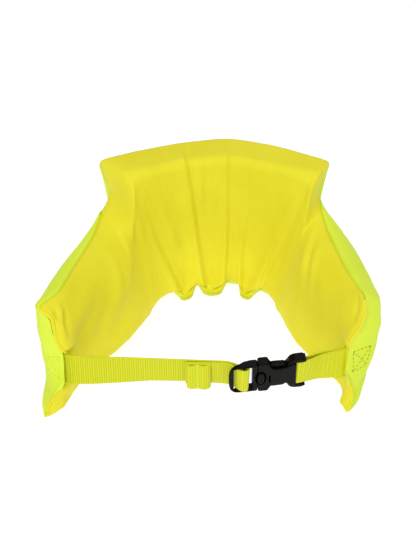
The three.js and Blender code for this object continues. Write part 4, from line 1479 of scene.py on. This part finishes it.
@dataclass
class LongStrap:
    """Adjusting strap: from the left flap behind the end bar, round the ladder bar, its tail sewn in a bow.

    Rows hold x and layer. approach leads to the ladder bar and back leads from it down to the tail.
    """

    route_rows: tuple = (
        (-114, -80.2, 35.6, 0), (-101, -87.7, 35.6, 0), (-86, -91.2, 36.4, 2), (-62, -92.0, 37.6, 7),
        (-40, -92.0, 38, 14), (-16, -92.6, 38, 20), (0, -93.3, 37.9, 18.5), (13, -93.3, 37.2, 17),
        (19, -94.0, 37.0, 17), (25.7, -94.5, 36.8, 17), (36, -93.4, 37.3, 17),
    )
    tab_end: float = -113.0
    level_end: float = -40.0
    level_cells: int = 60
    approach: tuple[Pair, ...] = ((-40.0, 0.0), (13.0, 0.0), (16.0, 0.3), (20.0, 1.4), (23.5, 2.6))
    back: tuple[Pair, ...] = ((24.0, 7.2), (21.5, 5.6), (19.0, 3.4), (16.5, 2.3))
    tail_from: float = 12.0
    ladder: float = 26.3
    ladder_behind: float = 3.3
    ladder_before: float = 7.5
    bow_left: float = -15.5
    bow_right: float = 1.0
    bow_layers: Triple = (1.6, 3.1, 4.9)
    bow_puff: float = 1.5
    inner_puff: float = 0.35
    bow_cells: int = 24
    bow_upright: float = 8.0
    seam_stitches: int = 22
    seam_width: float = 2.0
    seam_thread: float = 0.75
    seam_margin: float = 1.0

    def rows(self) -> Array:
        """Rows of x, layer and upright from the sewn tab to the end of the bow.

        The bow's two upper layers puff out between its middle seam and its ends by a sine.

        Returns:
            The rows.
        """
        tail, first, second = self.bow_layers
        span = self.bow_right - self.bow_left
        along = np.linspace(self.bow_left, self.bow_right, self.bow_cells)
        puff = self.bow_puff * np.abs(np.sin(2.0 * np.pi * (along - self.bow_left) / span))
        level = np.linspace(self.tab_end, self.level_end, self.level_cells, endpoint=False)
        strap = np.concatenate([
            np.stack([level, np.zeros_like(level)], 1),
            [*self.approach, (self.ladder, self.ladder_behind)],
            half_turn(self.ladder, self.ladder_behind, self.ladder_before, 1),
            [(self.ladder, self.ladder_before), *self.back],
            [(place, tail) for place in (self.tail_from, self.bow_right, self.bow_left)],
        ])
        bow = np.concatenate([
            half_turn(self.bow_left, tail, first, -1),
            np.stack([along, first + self.inner_puff * puff], 1),
            half_turn(self.bow_right, first, second, 1),
            np.stack([along, second + puff], 1)[::-1][:-1],
        ])
        upright = self.bow_upright * clamped((bow[:, 1] - tail) / (second - tail))
        return np.concatenate([np.pad(strap, ((0, 0), (0, 1))), np.column_stack([bow, upright])])

    def seam(self, route: Route) -> Surface:
        """Bar of short stitches across the bow's middle, one above the other."""
        middle = np.full(2, 0.5 * (self.bow_left + self.bow_right))
        layer = np.full(2, self.bow_layers[2] + 0.5 * STRAP_THICKNESS)
        sides = middle + 0.5 * self.seam_width * np.array([-1.0, 1.0])
        ends, across = route.at(sides, layer, self.bow_upright)
        up = np.linspace(-0.5, 0.5, self.seam_stitches)[:, None] * (STRAP_WIDTH - self.seam_margin)
        return stitches(ends[0] + across[0] * up, ends[1] + across[1] * up, self.seam_thread)

    def build(self, finishes: Finishes) -> bpy.types.Object:
        """Makes the strap's object and the seam across its bow."""
        route = Route(self.route_rows)
        self.seam(route).piece("bow_seam", finishes.bright_thread, Slot.WEBBING, "strap_long")
        return Webbing(route).surface(self.rows()).piece(
            "adjusting_strap", finishes.webbing, Slot.WEBBING, "strap_long")


@dataclass
class ShortStrap:
    """Fixed strap: doubled from the right flap round the socket's bar."""

    route_rows: tuple = (
        (58, -93.8, 37.4, 17), (66.5, -92.9, 37.9, 17), (71, -90.9, 38.2, 15), (82, -85.8, 37.6, 9),
        (96.5, -82.4, 37, 0), (110, -72.0, 37, 0),
    )
    legs: tuple = ((108, 0.95), (102, 0.95), (96.5, 0.95), (89, 1.0), (80, 1.2), (71, 1.8), (63.9, 1.85))

    def build(self, finishes: Finishes) -> bpy.types.Object:
        """Makes the strap's object."""
        leg = np.array(self.legs, float)
        bar, layer = leg[-1]
        rows = np.concatenate([leg, half_turn(bar, layer, -layer, -1), (leg * (1.0, -1.0))[::-1]])
        webbing = Webbing(Route(self.route_rows))
        return webbing.surface(rows).piece("fixed_strap", finishes.webbing, Slot.WEBBING, "strap_short")


@dataclass(frozen=True)
class BucklePose:
    """Where the buckle lies: its middle, and its turn, forward lean and roll in degrees.

    In its own frame x runs along the strap, y across it and z out of its front.
    """

    middle: Triple = (42.2, -95.6, 36.7)
    yaw: float = 7.0
    lean: float = 17.0
    roll: float = 2.9

    def place(self, points: Array) -> Array:
        """Points of the buckle's own frame in the belt's frame."""
        yaw, tilt, roll = np.radians([self.yaw, 90.0 + self.lean, self.roll])
        about_z = [np.array([[np.cos(a), -np.sin(a), 0.0], [np.sin(a), np.cos(a), 0.0], [0.0, 0.0, 1.0]])
                   for a in (yaw, roll)]
        about_x = np.array([[1.0, 0.0, 0.0], [0.0, np.cos(tilt), -np.sin(tilt)],
                            [0.0, np.sin(tilt), np.cos(tilt)]])
        return points @ (about_z[0] @ about_x @ about_z[1]).T + np.array(self.middle) - BOX_MIDDLE


def inset(outline: Array, amount: float) -> Array:
    """A closed flat outline moved inward along its own normals, for an outline that runs clockwise."""
    along = unit(np.roll(outline, -1, 0) - np.roll(outline, 1, 0))
    return outline + amount * np.stack([along[:, 1], -along[:, 0]], 1)


RIM_FLAT = 1.5


def rim(low: float, high: float, ease: float, steps: int = 5) -> Array:
    """Insets and levels up the side of a plate whose two edges are eased by quarter circles."""
    turn = np.linspace(0.0, 0.5 * np.pi, steps)
    lower = np.stack([ease * (1.0 - np.sin(turn)), low + ease * (1.0 - np.cos(turn))], 1)
    upper = np.stack([lower[::-1, 0], low + high - lower[::-1, 1]], 1)
    flat = np.array([[RIM_FLAT * ease, low], [RIM_FLAT * ease, high]])
    return np.concatenate([flat[:1], lower, upper, flat[1:]])


@dataclass(frozen=True)
class Plate:
    """A moulded plate: rows of x and its two edges in y, between two levels, with rounded rims.

    ease rounds the rims and corner the four corners.
    """

    rows: tuple[Triple, ...]
    levels: Pair
    ease: float
    corner: float = 1.2
    cells: int = 56
    most_pull: float = 0.22

    def surface(self) -> Surface:
        """The plate as a tube of outlines; near its ends the edges come in by a quarter circle."""
        table = np.array(self.rows)
        share = 0.5 - 0.5 * np.cos(np.pi * np.linspace(0.0, 1.0, self.cells))
        x = table[0, 0] + (table[-1, 0] - table[0, 0]) * share
        low, high = (EasedCurve(table[:, 0], table[:, k])(x) for k in (1, 2))
        from_end = clamped(1.0 - np.minimum(x - x[0], x[-1] - x) / self.corner)
        pull = np.minimum(self.corner * (1.0 - np.sqrt(1.0 - from_end ** 2)), self.most_pull * (high - low))
        outline = np.concatenate([np.stack([x, high - pull], 1), np.stack([x, low + pull], 1)[::-1]])
        rings = [np.concatenate([inset(outline, amount), np.full((len(outline), 1), level)], 1)
                 for amount, level in rim(*self.levels, self.ease)]
        return closed_tube(np.array(rings)).outward()


def mirrored(rows: Sequence[Pair]) -> tuple[Triple, ...]:
    """Rows of x and half width as rows of x and two edges."""
    return tuple((x, -half, half) for x, half in rows)


def both_sides(rows: Sequence[Triple]) -> tuple[tuple[Triple, ...], tuple[Triple, ...]]:
    """Rows of x and two edges, and the same rows on the other side of the middle."""
    return tuple(rows), tuple((x, -high, -low) for x, low, high in rows)


@dataclass
class Buckle:
    """Side-release buckle: a plug with a ladder frame and prongs, a waisted socket with ears, a lock button.

    Rows are x and half width, or x and two edges, in the buckle's own frame. Levels are the two faces.
    """

    pose: BucklePose = BucklePose()
    frame_outer: Triple = (-27.9, -7.1, 15.6)
    frame_squareness: Pair = (3.2, 24.0)
    frame_inner: Triple = (-24.4, -11.1, 13.0)
    frame_levels: Pair = (-2.9, 3.2)
    pass_level: float = 0.9
    pass_span: Pair = (-13.0, -26.5)
    socket_half: tuple[Pair, ...] = (
        (-7.0, 16.3), (-3.0, 16.4), (-0.2, 16.2), (0.6, 15.0), (1.6, 12.6), (3.0, 10.4), (5.5, 8.8),
        (8.0, 8.5), (11.0, 8.9), (13.8, 9.9), (16.0, 11.6), (18.0, 13.0), (20.4, 12.9),
    )
    ear: tuple[Triple, ...] = (
        (13.6, 8.2, 11.4), (15.0, 9.4, 13.6), (17.0, 12.0, 15.9), (20.0, 12.9, 16.9), (24.0, 13.0, 17.0),
        (27.2, 13.1, 16.2),
    )
    prong: tuple[Triple, ...] = (
        (-8.6, 9.4, 13.4), (0.5, 9.3, 12.6), (3.4, 9.0, 13.9), (11.0, 9.2, 13.6), (13.4, 10.0, 12.0),
    )
    button_x: float = -5.0
    button_radii: Pair = (2.5, 6.4)
    button_levels: Pair = (2.4, 4.1)
    plug_levels: Pair = (-1.5, 1.5)
    bar_rows: tuple[Pair, ...] = ((-17.6, 13.4), (-16.0, 13.4))
    bar_levels: Pair = (1.5, 3.1)
    guide_rows: tuple[Pair, ...] = ((-8.6, 2.2), (11.5, 1.6))
    wall_rows: tuple[Pair, ...] = ((-10.4, 13.6), (-5.0, 13.6))
    socket_levels: tuple[Pair, Pair] = ((1.6, 3.4), (-3.8, -1.6))
    side_rows: tuple[Triple, ...] = ((-6.9, 14.0, 16.2), (0.2, 14.0, 16.2))
    side_levels: Pair = (-3.2, 2.8)
    web_rows: tuple[Pair, ...] = ((14.6, 10.5), (16.5, 11.5))
    web_levels: Pair = (-2.8, 2.8)
    ear_levels: Pair = (-3.8, 2.6)
    strap_bar_rows: tuple[Pair, ...] = ((22.6, 14.0), (24.2, 14.0))
    strap_bar_levels: Pair = (-0.5, 0.5)
    # slot and ring: raised pieces in the black painted-shade finish
    slot_rows: tuple[Triple, ...] = ((0.6, -6.3, 2.7), (2.0, -6.3, 2.7))
    slot_levels: Pair = (2.8, 3.45)
    ring_level: float = 3.3
    ring_half: Pair = (0.8, 0.2)
    ring_sides: int = 12
    ring_steps: int = 72
    frame_corner: float = 0.4
    frame_sides: int = 32
    ring_radii: Pair = (3.3, 7.4)

    def plug_frame(self) -> Surface:
        """Frame of rounded bars: between an outer and an inner rounded rectangle, wrapped both ways.

        Round the loop the outline is a superellipse, cos and sin to the power of two over the squareness.
        Its back steps forward at the end bar, so that the strap passes behind that bar.

        Returns:
            The frame in the buckle's own frame.
        """
        share = np.linspace(0.0, 4.0, 240, endpoint=False)
        angle = 0.5 * np.pi * (np.floor(share) + smooth(share % 1.0))
        lean = np.stack([np.cos(angle), np.sin(angle)], 1)
        loops = []
        round_end, square_end = self.frame_squareness
        at_end = np.where(lean[:, :1] < 0.0, round_end, square_end)
        for (left, right, half), square in ((self.frame_outer, at_end), (self.frame_inner, square_end)):
            size = np.array([0.5 * (right - left), half])
            shape = signed_power(lean, 2.0 / square)
            loops.append(shape * size + np.array([0.5 * (left + right), 0.0]))
        outer, inner = loops
        low, high = self.frame_levels
        start, end = self.pass_span
        middle = 0.5 * (outer + inner)[:, 0]
        back = low + (self.pass_level - low) * smooth((start - middle) / (start - end))
        turn = circle(self.frame_sides)
        across, up = (signed_power(f, self.frame_corner) for f in (np.cos(turn), np.sin(turn)))
        flat = (0.5 * (outer + inner)[:, None] + 0.5 * (outer - inner)[:, None] * across[None, :, None])
        level = 0.5 * (back + high)[:, None] + 0.5 * (high - back)[:, None] * up
        ring = np.concatenate([flat, level[..., None]], -1)
        ring = np.concatenate([ring, ring[:1]])
        return closed_ring(ring)

    def plug(self) -> Surface:
        """Frame, ladder bar, prongs, guide and shoulder of the plug."""
        plates = [
            *(Plate(rows, self.plug_levels, 0.6) for rows in both_sides(self.prong)),
            Plate(mirrored(self.bar_rows), self.bar_levels, 0.6, 0.3, 12),
            Plate(mirrored(self.guide_rows), self.plug_levels, 0.5),
            Plate(mirrored(self.wall_rows), self.plug_levels, 0.4, 0.6, 20),
        ]
        return Surface.joined([self.plug_frame(), *(plate.surface() for plate in plates)])

    def socket(self) -> Surface:
        """Front and back plates, mouth sides, web, ears and strap bar of the socket."""
        plates = [
            *(Plate(mirrored(self.socket_half), levels, 0.75, 1.6, 110) for levels in self.socket_levels),
            *(Plate(rows, self.side_levels, 0.5, 0.8, 24) for rows in both_sides(self.side_rows)),
            Plate(mirrored(self.web_rows), self.web_levels, 0.3, 0.3, 12),
            *(Plate(rows, self.ear_levels, 0.55, 2.4) for rows in both_sides(self.ear)),
            Plate(mirrored(self.strap_bar_rows), self.strap_bar_levels, 0.2, 0.2, 12),
        ]
        return Surface.joined([plate.surface() for plate in plates])

    def groove_shades(self) -> Surface:
        """Black ring round the lock button and a short black slot beside it, both lying in the front face:
        painted shade for a groove and a slot.
        """
        angle = np.linspace(0.0, 2.0 * np.pi, self.ring_steps + 1)
        turn = circle(self.ring_sides)
        wide, deep = self.ring_half
        radius = np.array(self.ring_radii) + wide * np.cos(turn)[:, None]
        ring = np.stack(np.broadcast_arrays(
            self.button_x + radius[:, 0] * np.cos(angle)[:, None], radius[:, 1] * np.sin(angle)[:, None],
            self.ring_level + deep * np.sin(turn)), -1)
        loop = closed_ring(ring)
        slot = Plate(self.slot_rows, self.slot_levels, 0.2, 0.6, 16)
        return Surface.joined([loop, slot.surface()])

    def button(self) -> Surface:
        """Oval lock button with a softly domed top."""
        wide, tall = self.button_radii
        share = np.linspace(-1.0, 1.0, 25)
        half = tall * np.sqrt(1.0 - (0.999 * share) ** 2)
        rows = mirrored(list(zip(self.button_x + wide * share, half)))
        return Plate(rows, self.button_levels, 0.8, 0.01, 40).surface()

    def build(self, finishes: Finishes) -> None:
        """Makes the buckle's objects."""
        for name, surface, finish, node in (
                ("plug", self.plug(), finishes.plastic, "buckle_plug"),
                ("socket", self.socket(), finishes.plastic, "buckle_socket"),
                ("button", self.button(), finishes.plastic, "lock_button"),
                # painted shade pieces for the groove round the button and the slot
                ("socket_groove_shades", self.groove_shades(), finishes.groove_shade, "buckle_socket")):
            surface.points = self.pose.place(surface.points)
            surface.piece(name, finish, Slot.BUCKLE, node)


@dataclass
class Stage:
    """Pale floor, soft studio light, and the camera at the photograph's angle."""

    floor_side: float = 8.0
    target: Triple = tuple((np.array([0.0, 0.0, 55.0]) - BOX_MIDDLE) * MM)
    distance: float = 1.1
    elevation: float = 34.0
    pixels_per_mm: float = 1.0 / 0.76
    image_long_side: int = 555
    sensor: float = 36.0
    floor_grey: float = 0.3
    floor_glow: float = 0.86
    surround: float = 0.4
    lamps: tuple[tuple[str, Triple, float, float], ...] = (
        ("key", (-0.36, -1.68, 1.4), 0.9, 19.0), ("top", (0.3, 0.2, 2.0), 1.6, 14.0))

    def floor(self) -> None:
        """A white floor, level with the belt's lowest point."""
        side = 0.5 * self.floor_side
        mesh = bpy.data.meshes.new("floor")
        corners = [(-side, -side, 0.0), (side, -side, 0.0), (side, side, 0.0), (-side, side, 0.0)]
        mesh.from_pydata(corners, [], [(0, 1, 2, 3)])
        sheet = NodeSheet("white floor")
        sheet.set(Base_Color=(*[self.floor_grey] * 3, 1.0), Roughness=0.9, Specular_IOR_Level=0.0,
                  Emission_Color=(1.0, 1.0, 1.0, 1.0), Emission_Strength=self.floor_glow)
        mesh.materials.append(sheet.material)
        floor = bpy.data.objects.new("floor", mesh)
        bpy.context.scene.collection.objects.link(floor)

    def light(self) -> None:
        """An even white surround, a soft key lamp from the front left and a wider lamp overhead."""
        scene = bpy.context.scene
        world = bpy.data.worlds.new("studio")
        world.use_nodes = True
        background = world.node_tree.nodes["Background"]
        background.inputs["Color"].default_value = (1.0, 1.0, 1.0, 1.0)
        background.inputs["Strength"].default_value = self.surround
        scene.world = world
        scene.view_settings.view_transform = "Standard"
        for lamp in self.lamps:
            self.lamp(*lamp)

    def lamp(self, name: str, place: Triple, size: float, power: float) -> None:
        """A square soft lamp aimed at the belt.

        Args:
            name: the lamp's name.
            place: where it stands, in metres.
            size: its side.
            power: its power in watts.
        """
        data = bpy.data.lights.new(name, "AREA")
        data.size = size
        data.energy = power
        lamp = bpy.data.objects.new(name, data)
        lamp.location = place
        lamp.rotation_euler = (Vector(self.target) - Vector(place)).to_track_quat("-Z", "Y").to_euler()
        bpy.context.scene.collection.objects.link(lamp)

    def camera(self) -> None:
        """The camera, from its height angle and the photograph's scale at the belt."""
        raised = np.radians(self.elevation)
        back = Vector((0.0, -float(np.cos(raised)), float(np.sin(raised))))
        data = bpy.data.cameras.new("camera")
        data.sensor_width = self.sensor
        data.lens = self.distance / MM * self.pixels_per_mm * self.sensor / self.image_long_side
        camera = bpy.data.objects.new("camera", data)
        camera.location = Vector(self.target) + back * self.distance
        camera.rotation_euler = (-back).to_track_quat("-Z", "Y").to_euler()
        bpy.context.scene.collection.objects.link(camera)
        bpy.context.scene.camera = camera

    def build(self) -> None:
        """Sets the whole stage."""
        self.camera()
        self.floor()
        self.light()


def main() -> None:
    """Builds the stage and the belt's pieces in order."""
    logging.basicConfig(level=logging.INFO, format="%(message)s")
    Stage().build()
    finishes = Finishes()
    form = BeltForm()
    Lining(form).build(finishes)
    shell = Shell(form)
    shell.build(finishes)
    shell.build_squares(finishes)
    LongStrap().build(finishes)
    ShortStrap().build(finishes)
    Buckle().build(finishes)


if __name__ == "__main__":
    main()
